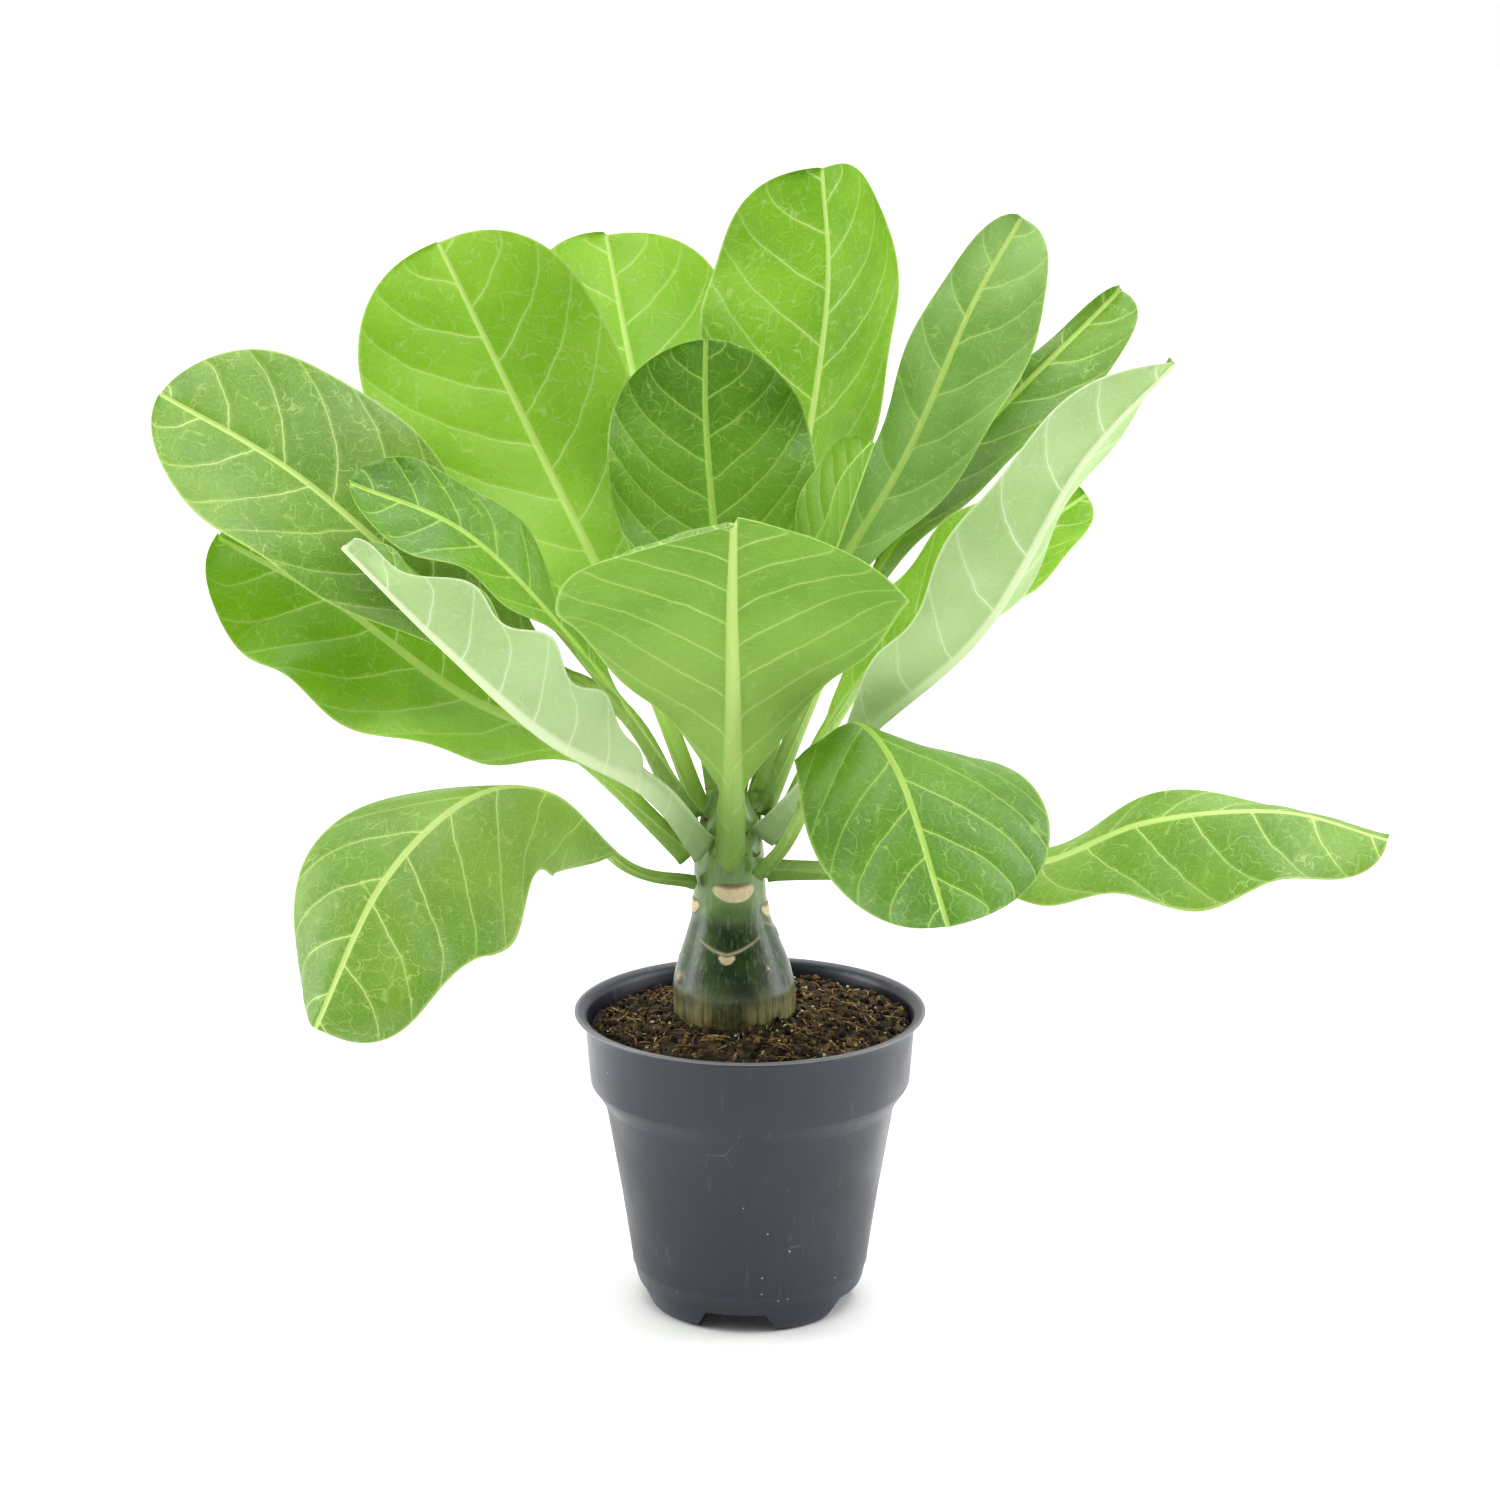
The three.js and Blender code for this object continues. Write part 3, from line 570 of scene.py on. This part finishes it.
# ---------- leaves ----------
def leaf_rib(leaf, shares):
    """Places and directions along the midrib at shares of its length, and that length."""
    rib = np.array(leaf["rib"], float)
    heading = np.radians(rib[:, 0])
    x = CROWN_X + rib[:, 1] * np.cos(heading)
    y = rib[:, 1] * np.sin(heading)
    steps = np.linspace(0, 1, 241)
    curve = np.stack([read_profile(knots, steps) for knots in (x, y, rib[:, 2])], axis=1)
    lengths = np.concatenate([[0], np.cumsum(np.linalg.norm(np.diff(curve, axis=0), axis=1))])
    u = np.interp(np.asarray(shares) * lengths[-1], lengths, steps)

    def place(at):
        at = np.clip(at, 0, 1)
        return np.stack([read_profile(knots, at) for knots in (x, y, rib[:, 2])], axis=1)

    along = place(u + 0.001) - place(u - 0.001)
    along /= np.linalg.norm(along, axis=1, keepdims=True)
    turn = np.radians(read_profile(rib[:, 0], u))
    left = np.stack([-np.sin(turn), np.cos(turn), np.zeros(len(u))], axis=1)
    left -= np.sum(left * along, axis=1, keepdims=True) * along
    left /= np.linalg.norm(left, axis=1, keepdims=True)
    up = np.cross(along, left)
    roll = np.radians(read_profile(leaf["roll"], shares))[:, None]
    rolled_left = np.cos(roll) * left + np.sin(roll) * up
    rolled_up = np.cos(roll) * up - np.sin(roll) * left
    return place(u), rolled_left, rolled_up, lengths[-1]


def leaf_half(leaf, side, q, width, t):
    """Sideways place and rise of points t (0 rib, 1 margin) on the left or right half."""
    start = np.radians(read_profile(leaf[side + "_fold"], q))[:, None]
    bend = np.radians(read_profile(leaf[side + "_curl"], q))[:, None]
    bend = np.where(np.abs(bend) < 0.001, 0.001, bend)
    angle = start + bend * t
    across = width * (np.sin(angle) - np.sin(start)) / bend
    bulge = width * (np.cos(start) - np.cos(angle)) / bend
    height, number, begin = leaf[side + "_wave"]
    swing = np.sin(2 * math.pi * (number * q[:, None] + begin))
    ripple = height * t**2 * swing * np.minimum(1, 4 * q[:, None])
    return across, bulge + ripple


def make_leaf(leaf, upper_skin, under_skin, seed):
    petiole = leaf["petiole"]
    stalk = leaf["stalk"]
    bare = petiole * np.linspace(0, 1, PETIOLE_STATIONS, endpoint=False)
    blade_q = np.sin(np.linspace(0, math.pi / 2, BLADE_STATIONS))
    shares = np.concatenate([bare, petiole + (1 - petiole) * blade_q])
    q = np.clip((shares - petiole) / (1 - petiole), 0, 1)
    place, left, up, length = leaf_rib(leaf, shares)

    swell, close = leaf["shape"]
    total = swell + close
    peak = (swell / total) ** swell * (close / total) ** close
    blade = leaf["width"] / 2 * q**swell * (1 - q) ** close / peak
    rib_half = stalk * (1 - q**0.6) + TIP_HALF_WIDTH * q**0.6
    clasp = 1 + 0.3 * np.exp(-shares * length / 5)
    keel_depth = KEEL_DEPTH_SHARE * stalk * (1 - np.sqrt(shares)) + KEEL_DEPTH_AT_TIP * np.sqrt(shares)

    upper = {}
    lower = {}
    values = {}
    gap = length * (1 - petiole) / VEINS_A_SIDE
    for side, sign, share in (("left", 1, leaf["halves"][0]), ("right", -1, leaf["halves"][1])):
        width = np.maximum(blade * share * WIDTH_SHARE, rib_half * clasp)
        near = np.minimum(0.5, rib_half / width)[:, None]
        inner = near * np.linspace(0, 1, RIB_COLUMNS, endpoint=False)
        outer_share = np.linspace(0, 1, HALF_COLUMNS - RIB_COLUMNS)
        outer = near + (1 - near) * np.sin(outer_share * math.pi / 2) ** 0.9
        t_half = np.concatenate([inner, outer], axis=1)
        across, rise = leaf_half(leaf, side, q, width[:, None], t_half)
        out = t_half * width[:, None]
        run = shares[:, None] * length + np.zeros_like(t_half)
        lean = 0.62 * out + 0.42 * width[:, None] * t_half**3
        phase = (run - lean) / gap + (0.0 if sign > 0 else 0.45) + seed * 0.37
        ridge = 0.5 + 0.5 * np.cos(2 * math.pi * (phase - 0.5))
        flat = smoothstep(0.0, 0.12, q)[:, None] * smoothstep(0.05, 0.3, t_half)
        flat = flat * (1 - smoothstep(0.85, 1, t_half))
        quilt = QUILT_HEIGHT * flat * (0.6 - ridge)
        groove = 0.12 * stalk * np.exp(-((out / rib_half[:, None]) ** 2) * 1.6)
        top = rise + quilt - groove
        inside = np.clip(1 - (out / rib_half[:, None] * 0.98) ** 2, 0, 1)
        keel = keel_depth[:, None] * np.sqrt(inside)
        sheet = BLADE_THICKNESS + (MARGIN_THICKNESS - BLADE_THICKNESS) * t_half**3
        base = place[:, None, :] + sign * across[..., None] * left[:, None, :]
        upper[side] = base + top[..., None] * up[:, None, :]
        lower[side] = base + (top - sheet - keel)[..., None] * up[:, None, :]
        values[side] = (run, sign * out, phase, out / rib_half[:, None], t_half)

    def ring(halves):
        return np.concatenate([halves["left"][:, ::-1], halves["right"][:, 1:]], axis=1)

    top_rows = ring(upper)
    under_rows = ring(lower)[:, ::-1]
    rings = np.concatenate([top_rows, under_rows], axis=1)
    vertices, faces = loft(rings)
    columns = top_rows.shape[1]
    names = ("along", "across", "phase", "rib", "margin")
    attributes = {}
    for k, key in enumerate(names):
        rows = ring({side: values[side][k] for side in values})
        both = np.concatenate([rows, rows[:, ::-1]], axis=1)
        ends = [both[0].mean(), both[-1].mean()]
        attributes[key] = np.concatenate([both.reshape(-1), ends])
    count = 2 * columns
    face_materials = [0 if (k % count) < columns - 1 else 1 for k in range((len(shares) - 1) * count)]
    face_materials += [1] * (len(faces) - len(face_materials))
    thing = make_object(
        leaf["name"] + "_blade", vertices, faces, [upper_skin, under_skin], face_materials, attributes
    )
    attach(thing, "root")
    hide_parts(leaf["name"])
    return thing


# ---------- stem ----------
def stem_axis_x(height):
    rise = np.clip((height - 100) / (CROWN_BASE - 100), 0, 1)
    return STEM_BASE_X + (CROWN_X - STEM_BASE_X) * rise


# Leaf scars: [angle from the front towards +X in degrees, height, half angle, half height].
SCARS = [
    (8, 149, 37, 3.2), (-78, 142.5, 26, 2.6), (72, 141, 20, 2.4), (150, 146, 32, 2.8), (-150, 137, 30, 2.6),
    (110, 131, 24, 2.0), (-6, 126.5, 9, 1.6), (190, 125, 26, 2.0),
]
# Healed lines that dip at the middle of an old scar: [angle, height, half angle, rise of the arms].
SCAR_LINES = [(-6, 127.3, 48, 5.5), (110, 131.5, 55, 5), (190, 125.5, 60, 5), (-110, 121, 45, 4)]
WARTS = [(-64, 117.5, 1.5), (150, 114, 1.2), (40, 122, 0.7)]


def angle_between(a, b):
    return (a - b + 180) % 360 - 180


def stem_marks(angle, height, radius):
    """Scar, rust and raised height at a place on the stem's skin."""
    scar = 0.0
    rust = 0.0
    raised = 0.0
    for at, level, half_angle, half_height in SCARS:
        side = angle_between(angle, at) / half_angle
        bow = level - half_height * 0.5 * (1 - side * side)
        rise = (height - bow) / half_height
        ragged = 0.12 * lumps(angle * 0.3, height * 2, level, 3)
        reach = side * side + rise * rise + ragged
        inside = float(smoothstep(1.05, 0.8, reach)) if reach < 1.05 else 0.0
        scar = max(scar, inside)
        rust = max(rust, inside * float(smoothstep(0.35, 0.8, rise)))
        raised = max(raised, 0.35 * inside)
    for at, level, half_angle, arms in SCAR_LINES:
        side = angle_between(angle, at) / half_angle
        if abs(side) < 1:
            line = level + arms * abs(side) ** 1.3
            near = math.exp(-(((height - line) / 0.45) ** 2)) * (1 - abs(side)) ** 0.5
            scar = max(scar, 0.75 * near)
            raised = max(raised, 0.25 * near)
    for at, level, size in WARTS:
        side = math.radians(angle_between(angle, at)) * radius
        far = (side * side + (height - level) ** 2) / size**2
        bump = math.exp(-far)
        scar = max(scar, bump)
        raised = max(raised, 0.9 * size * bump)
    return scar, rust, raised


def make_stem(skin):
    radii, heights = np.array(STEM_PROFILE, float).T
    buried = np.linspace(80, 98, 10)
    shown = np.linspace(98.4, 165, STEM_ROWS - 30)
    tip = np.linspace(165.5, 185, 20)
    # The profile is smoothed by a running mean so that no facet shows between its points.
    fine = np.linspace(80, 185, 421)
    straight = np.interp(fine, heights, radii)
    kernel = np.hanning(25)
    padded = np.concatenate([np.full(12, straight[0]), straight, np.full(12, straight[-1])])
    soft = np.convolve(padded, kernel / kernel.sum(), mode="valid")
    rings = []
    marks = {"scar": [], "rust": [], "neck": [], "foot": [], "dry": []}
    for height in np.concatenate([buried, shown, tip]):
        radius = float(np.interp(height, fine, soft))
        centre = float(stem_axis_x(height))
        row = []
        for j in range(STEM_COLUMNS):
            around = 2 * math.pi * j / STEM_COLUMNS
            angle = math.degrees(around) + 90
            scar, rust, raised = stem_marks(angle, height, radius)
            x, y = math.cos(around), math.sin(around)
            swell = 0.25 * lumps(x * 20, y * 20, height, 14) + 0.06 * lumps(x * 20, y * 20, height, 2.5)
            out = radius - 0.3 + raised + swell
            row.append((centre + out * x, out * y, height))
            marks["scar"].append(scar)
            marks["rust"].append(rust * 0.8)
            marks["neck"].append(float(smoothstep(134, 146, height + 3 * lumps(x * 9, y * 9, height, 6))))
            marks["foot"].append(float(smoothstep(119, 102, height)) if height < 119 else 0.0)
            marks["dry"].append(0.0)
        rings.append(row)
    vertices, faces = loft(np.array(rings))
    values = {key: np.array(marks[key] + [0, 0]) for key in marks}
    vertices, faces, values = add_dry_bits(vertices, faces, values)
    thing = make_object("caudex", vertices, faces, [skin], None, values)
    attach(thing, "root")
    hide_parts("stem")


def add_dry_bits(vertices, faces, values):
    """Small dry leaf-base scales and stubs standing out of the crown."""
    rng = random.Random(31)
    extra_points = []
    extra_faces = list(faces)
    start = len(vertices)
    for k in range(14):
        heading = math.radians(k * 137.5 + rng.uniform(-12, 12))
        height = 152 + 22 * (k / 14) + rng.uniform(-1.5, 1.5)
        radius = float(np.interp(height, [p[1] for p in STEM_PROFILE], [p[0] for p in STEM_PROFILE]))
        out = np.array([math.cos(heading), math.sin(heading), 0.0])
        side = np.array([-out[1], out[0], 0.0])
        centre = np.array([CROWN_X, 0, height]) + out * (radius - 0.5)
        long = rng.uniform(2.0, 4.2)
        wide = rng.uniform(0.7, 1.5)
        rings = []
        for step in range(6):
            share = step / 5
            lift = centre + out * (long * 0.75 * share) + np.array([0, 0, long * (0.2 + 0.6 * share) * share])
            half = wide * (1 - share) ** 0.6 + 0.08
            ring = []
            for j in range(8):
                turn = 2 * math.pi * j / 8
                sideways = side * half * math.cos(turn)
                ring.append(lift + sideways + np.array([0, 0, 0.3 * half * math.sin(turn)]))
            rings.append(ring)
        points, quads = loft(np.array(rings))
        extra_points.append(points)
        extra_faces += [tuple(start + i for i in face) for face in quads]
        start += len(points)
    extra = np.concatenate(extra_points)
    merged = {}
    for key, array in values.items():
        merged[key] = np.concatenate([array, np.full(len(extra), 1.0 if key == "dry" else 0.0)])
    return np.concatenate([vertices, extra]), extra_faces, merged


# ---------- peat ----------
def soil_height(x, y, share):
    ripple = 0.7 * np.sin(0.31 * x + 1.3) * np.cos(0.27 * y) + 0.4 * np.sin(0.6 * y + 0.5 * x)
    return SOIL_EDGE_HEIGHT + (SOIL_MOUND_HEIGHT - SOIL_EDGE_HEIGHT) * share + 0.02 * x + ripple


def make_soil(skin):
    against_pot = [(36, SOIL_BOTTOM), *SOIL_INSIDE_WALL]
    rings = [circle(radius, height, 0, SOIL_COLUMNS) for radius, height in against_pot]
    outer = circle(54.8, 0, 0, SOIL_COLUMNS)
    inner = circle(20.6, 0, STEM_BASE_X, SOIL_COLUMNS)
    tone = [np.full(SOIL_COLUMNS, 0.2)] * len(rings)
    for share in np.linspace(0, 1, 60):
        ring = outer + (inner - outer) * share
        ring[:, 2] = soil_height(ring[:, 0], ring[:, 1], share)
        shade = []
        for k, (x, y, z) in enumerate(ring):
            coarse = lumps(x, y, 5, 5)
            fine = lumps(x, y, 9, 1.6)
            ring[k, 2] = z + 0.9 * coarse + 0.6 * fine - 0.4
            shade.append(0.36 + 0.3 * lumps(x, y, 17, 4) + 0.25 * fine)
        rings.append(ring)
        tone.append(np.array(shade))
    rings.append(circle(18, 95, STEM_BASE_X, SOIL_COLUMNS))
    tone.append(np.full(SOIL_COLUMNS, 0.2))
    vertices, faces = loft(np.array(rings))
    tones = np.concatenate([*tone, [0.2, 0.2]])
    vertices, faces, tones = add_crumbs_and_fibres(vertices, faces, tones)
    thing = make_object("peat", vertices, faces, [skin], None, {"tone": tones})
    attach(thing, "root")
    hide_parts("soil")


def soil_place(rng):
    """A random place on the peat between the stem and the wall."""
    while True:
        radius = 54 * math.sqrt(rng.random())
        turn = rng.uniform(0, 2 * math.pi)
        x, y = radius * math.cos(turn), radius * math.sin(turn)
        from_stem = math.hypot(x - STEM_BASE_X, y)
        if from_stem > 20.2:
            share = (54.4 - radius) / max(1e-6, (54.4 - radius) + (from_stem - 20.6))
            height = float(soil_height(x, y, min(1, share)))
            return x, y, height + 0.9 * lumps(x, y, 5, 5)


def crumb(rng, x, y, z, size):
    """One rough grain: a small faceted ball pulled out of round."""
    rings = []
    stretch = [rng.uniform(0.6, 1.3) for _ in range(3)]
    lean = rng.uniform(0, math.pi)
    for level in range(5):
        tilt = math.pi * (0.1 + 0.8 * level / 4) - math.pi / 2
        ring = []
        for j in range(6):
            turn = 2 * math.pi * j / 6 + lean
            rough = size * rng.uniform(0.75, 1.15)
            ring.append((
                x + rough * stretch[0] * math.cos(tilt) * math.cos(turn),
                y + rough * stretch[1] * math.cos(tilt) * math.sin(turn),
                z + rough * stretch[2] * math.sin(tilt),
            ))
        rings.append(ring)
    return loft(np.array(rings))


def fibre(rng, x, y, z, long, thick):
    """One bent peat fibre lying on the surface."""
    heading = rng.uniform(0, 2 * math.pi)
    bend = rng.uniform(-1.2, 1.2)
    rise = rng.uniform(-0.1, 0.35)
    point = np.array([x, y, z + thick * 0.5])
    rings = []
    for step in range(6):
        direction = np.array([math.cos(heading), math.sin(heading), 0])
        side = np.array([-direction[1], direction[0], 0])
        half = thick * (1 - 0.6 * abs(step / 5 - 0.4))
        ring = []
        for j in range(5):
            turn = 2 * math.pi * j / 5
            ring.append(point + half * (side * math.cos(turn) + np.array([0, 0, 1]) * math.sin(turn)))
        rings.append(ring)
        point = point + direction * long / 5 + np.array([0, 0, rise * long / 5])
        rise -= 0.12
        heading += bend / 5
    return loft(np.array(rings))


def add_crumbs_and_fibres(vertices, faces, tones):
    rng = random.Random(7)
    points = [vertices]
    all_faces = list(faces)
    shades = [tones]
    start = len(vertices)
    pieces = []
    for _ in range(1500):
        x, y, z = soil_place(rng)
        size = rng.uniform(0.35, 0.9) if rng.random() < 0.85 else rng.uniform(0.9, 1.7)
        shade = rng.choice([0.05, 0.15, 0.3, 0.4, 0.5, 0.6, 0.72])
        pieces.append((*crumb(rng, x, y, z, size), shade))
    for _ in range(60):
        x, y, z = soil_place(rng)
        pieces.append((*crumb(rng, x, y, z + 0.4, rng.uniform(0.3, 0.65)), 0.98))
    for _ in range(620):
        x, y, z = soil_place(rng)
        long = rng.uniform(2.5, 8)
        reach = math.hypot(x, y) + long
        if reach > 54:
            long = max(1.5, long - (reach - 54))
        shade = rng.choice([0.45, 0.55, 0.65, 0.75, 0.82, 0.9])
        pieces.append((*fibre(rng, x, y, z, long, rng.uniform(0.12, 0.34)), shade))
    for some, quads, shade in pieces:
        points.append(some)
        all_faces += [tuple(start + i for i in face) for face in quads]
        shades.append(np.full(len(some), shade))
        start += len(some)
    return np.concatenate(points), all_faces, np.concatenate(shades)


# ---------- pot ----------
def notch_middles():
    """Angles half way between each foot and the next."""
    following = FOOT_ANGLES[1:] + [FOOT_ANGLES[0] + 360]
    return [(here + there) / 2 for here, there in zip(FOOT_ANGLES, following)]


def notch_lift(angle):
    """Height of the pot's lower edge: 0 on a foot, rising by sloping sides into each notch."""
    nearest = min(abs(angle_between(angle, middle)) for middle in notch_middles())
    sideways = 36 * math.sin(math.radians(min(nearest, 90)))
    share = (NOTCH_HALF_BELOW - sideways) / (NOTCH_HALF_BELOW - NOTCH_HALF_ABOVE)
    return NOTCH_HEIGHT * min(1, max(0, share))


def make_pot(skin):
    below = [(0.5, BASE_UNDERSIDE), (16, BASE_UNDERSIDE), (24, BASE_UNDERSIDE), *FOOT_INSIDE]
    above = [(24, BASE_TOP), (16, BASE_TOP), (0.5, BASE_TOP)]
    outside_radii, outside_heights = zip(*POT_OUTSIDE)
    columns = []
    for j in range(POT_COLUMNS):
        angle = 360 * j / POT_COLUMNS
        lift = notch_lift(angle)
        outline = [(r, lift + z * (BASE_UNDERSIDE - lift) / BASE_UNDERSIDE) for r, z in below]
        for radius, height in POT_OUTSIDE:
            if height < FOOT_HEIGHT:
                height = lift + height * (FOOT_HEIGHT - lift) / FOOT_HEIGHT
                radius = float(np.interp(height, outside_heights, outside_radii))
            outline.append((radius, height))
        outline += POT_INSIDE + above
        turn = math.radians(angle)
        columns.append([(r * math.cos(turn), r * math.sin(turn), z) for r, z in outline])
    rings = np.array(columns).transpose(1, 0, 2)[::-1]
    vertices, faces = loft(rings)
    lip = [1.0 if z > 103.3 and math.hypot(x, y) > 58.4 else 0.0 for x, y, z in vertices]
    thing = make_object("pot_body", vertices, faces, [skin], None, {"lip": lip})
    drill_drains(thing)
    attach(thing, "root")
    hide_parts("pot")


def drill_drains(pot):
    rings_points = []
    rings_faces = []
    start = 0
    for middle in notch_middles():
        turn = math.radians(middle)
        low = circle(DRAIN_RADIUS, BASE_UNDERSIDE - 3, 0, 40)
        high = circle(DRAIN_RADIUS, BASE_TOP + 3, 0, 40)
        offset = np.array([DRAIN_CIRCLE * math.cos(turn), DRAIN_CIRCLE * math.sin(turn), 0])
        points, faces = loft(np.array([low + offset, high + offset]))
        rings_points.append(points)
        rings_faces += [tuple(start + i for i in face) for face in faces]
        start += len(points)
    cutter = make_object("drain_cutter", np.concatenate(rings_points), rings_faces, [])
    change = pot.modifiers.new("drains", "BOOLEAN")
    change.operation = "DIFFERENCE"
    change.solver = "EXACT"
    change.object = cutter
    depsgraph = bpy.context.evaluated_depsgraph_get()
    cut = bpy.data.meshes.new_from_object(pot.evaluated_get(depsgraph))
    pot.modifiers.clear()
    pot.data = cut
    bpy.data.objects.remove(cutter)


# ---------- camera, lights and floor ----------
def make_camera():
    data = bpy.data.cameras.new("camera")
    data.lens = 73.46
    data.sensor_width = 36
    data.clip_end = 50
    camera = bpy.data.objects.new("camera", data)
    camera.location = (0, -1.0, 0.425)
    camera.rotation_euler = (math.radians(90 - 13), 0, 0)
    bpy.context.scene.collection.objects.link(camera)
    bpy.context.scene.camera = camera


def make_light(name, place, target, size, power):
    data = bpy.data.lights.new(name, "AREA")
    data.shape = "RECTANGLE"
    data.size, data.size_y = size
    data.energy = power
    light = bpy.data.objects.new(name, data)
    light.location = place
    light.rotation_euler = (Vector(target) - Vector(place)).to_track_quat("-Z", "Y").to_euler()
    bpy.context.scene.collection.objects.link(light)


def make_sky():
    """White all round, dimmer on the side the camera stands, like a tent open at the front."""
    world = bpy.data.worlds.new("studio")
    world.use_nodes = True
    tree = world.node_tree
    background = tree.nodes["Background"]
    direction = tree.nodes.new("ShaderNodeTexCoord")
    parts = tree.nodes.new("ShaderNodeSeparateXYZ")
    tree.links.new(direction.outputs["Generated"], parts.inputs[0])
    fall = tree.nodes.new("ShaderNodeMapRange")
    fall.interpolation_type = "SMOOTHSTEP"
    fall.inputs["From Min"].default_value = -0.95
    fall.inputs["From Max"].default_value = -0.2
    fall.inputs["To Min"].default_value = 0.12
    fall.inputs["To Max"].default_value = 1.0
    tree.links.new(parts.outputs["Y"], fall.inputs["Value"])
    tree.links.new(fall.outputs[0], background.inputs["Color"])
    background.inputs["Strength"].default_value = 1.0
    bpy.context.scene.world = world


def make_sun():
    data = bpy.data.lights.new("sun", "SUN")
    data.energy = 1.6
    data.angle = math.radians(60)
    sun = bpy.data.objects.new("sun", data)
    sun.rotation_euler = Vector((0.0, -0.45, -0.9)).to_track_quat("-Z", "Y").to_euler()
    bpy.context.scene.collection.objects.link(sun)


def make_studio():
    make_sky()
    make_sun()
    make_light("top", (0.15, -0.5, 1.4), (0, 0, 0.25), (1.0, 0.8), 14)
    make_light("left", (-1.1, 0.0, 0.45), (0, 0, 0.2), (0.5, 1.1), 8)
    make_light("right", (1.1, 0.0, 0.45), (0, 0, 0.2), (0.5, 1.1), 8)
    g = Graph("paper_floor")
    fibre_noise = g.noise(g.object_point(), 60, 3.0)
    tone = g.mix(fibre_noise, (0.93, 0.93, 0.93, 1), (0.97, 0.97, 0.97, 1))
    normal = g.bump(fibre_noise, 0.02, 0.0002)
    floor_skin = g.finish(g.principled(tone, 0.9, normal, 0.1))
    corners = [(-90000, -9000, 0), (90000, -9000, 0), (90000, 190000, 0), (-90000, 190000, 0)]
    floor = make_object("floor", corners, [(0, 1, 2, 3)], [floor_skin])
    bpy.context.scene.view_settings.view_transform = "Standard"


# The upper skin of the leaves that don't wear the plain one. Light comes through the lighter skins, and their
# base colours are also painted lighter as light shining through; the darkest skin's base colours are painted
# shade; one skin is a paler green with a painted pale sheen instead of a waxy bloom.
UPPER_SKIN = {
    "leaf_03": "deep", "leaf_14": "deep", "leaf_16": "deep",
    "leaf_04": "backlit", "leaf_08": "backlit", "leaf_11": "backlit", "leaf_17": "backlit",
    "leaf_18": "backlit", "leaf_19": "backlit",
    "leaf_12": "glowing", "leaf_13": "glowing",
    "leaf_10": "pale_sheen",
}
SILVER_BACKED = {"leaf_05", "leaf_07"}


def make_skins():
    """The leaf skins: [name, green, deep green, veins, painted sheen, light through, underside, seed]."""
    rows = [
        # The green and deep green of the two lighter skins are painted light shining through, those of the
        # darkest skin painted shade, and the fifth number mixes a painted pale sheen into each skin.
        ["glowing", (174, 216, 66), (150, 200, 46), (228, 242, 160), 0.0, 0.56, False, 37.0],
        ["backlit", (154, 202, 44), (124, 178, 28), (228, 242, 160), 0.0, 0.48, False, 3.0],
        ["deep", (94, 146, 14), (72, 120, 10), (172, 206, 92), 0.0, 0.18, False, 11.0],
        ["pale_sheen", (152, 190, 104), (122, 166, 72), (206, 228, 136), 0.08, 0.3, False, 31.0],
        ["sheen", (124, 166, 36), (96, 140, 22), (206, 228, 136), 0.04, 0.3, False, 23.0],
        # The silvery underside is paler partly by its own colour and partly by painted reflection, in its
        # base colours and its larger painted sheen.
        ["silver", (184, 210, 146), (158, 192, 112), (232, 242, 206), 0.18, 0.26, True, 5.0],
        ["under", (132, 174, 66), (108, 154, 48), (206, 226, 140), 0.02, 0.32, True, 9.0],
    ]
    skins = {}
    for name, green, deep, vein, *rest in rows:
        skins[name] = leaf_material("leaf_" + name, srgb(*green), srgb(*deep), srgb(*vein), *rest)
    return skins


def make_leaves():
    skins = make_skins()
    for number, leaf in enumerate(LEAVES):
        upper = skins[UPPER_SKIN.get(leaf["name"], "sheen")]
        under = skins["silver" if leaf["name"] in SILVER_BACKED else "under"]
        make_leaf(leaf, upper, under, number * 0.618)


make_camera()
make_studio()
make_pot(pot_material())
make_soil(soil_material())
make_stem(stem_material())
make_leaves()
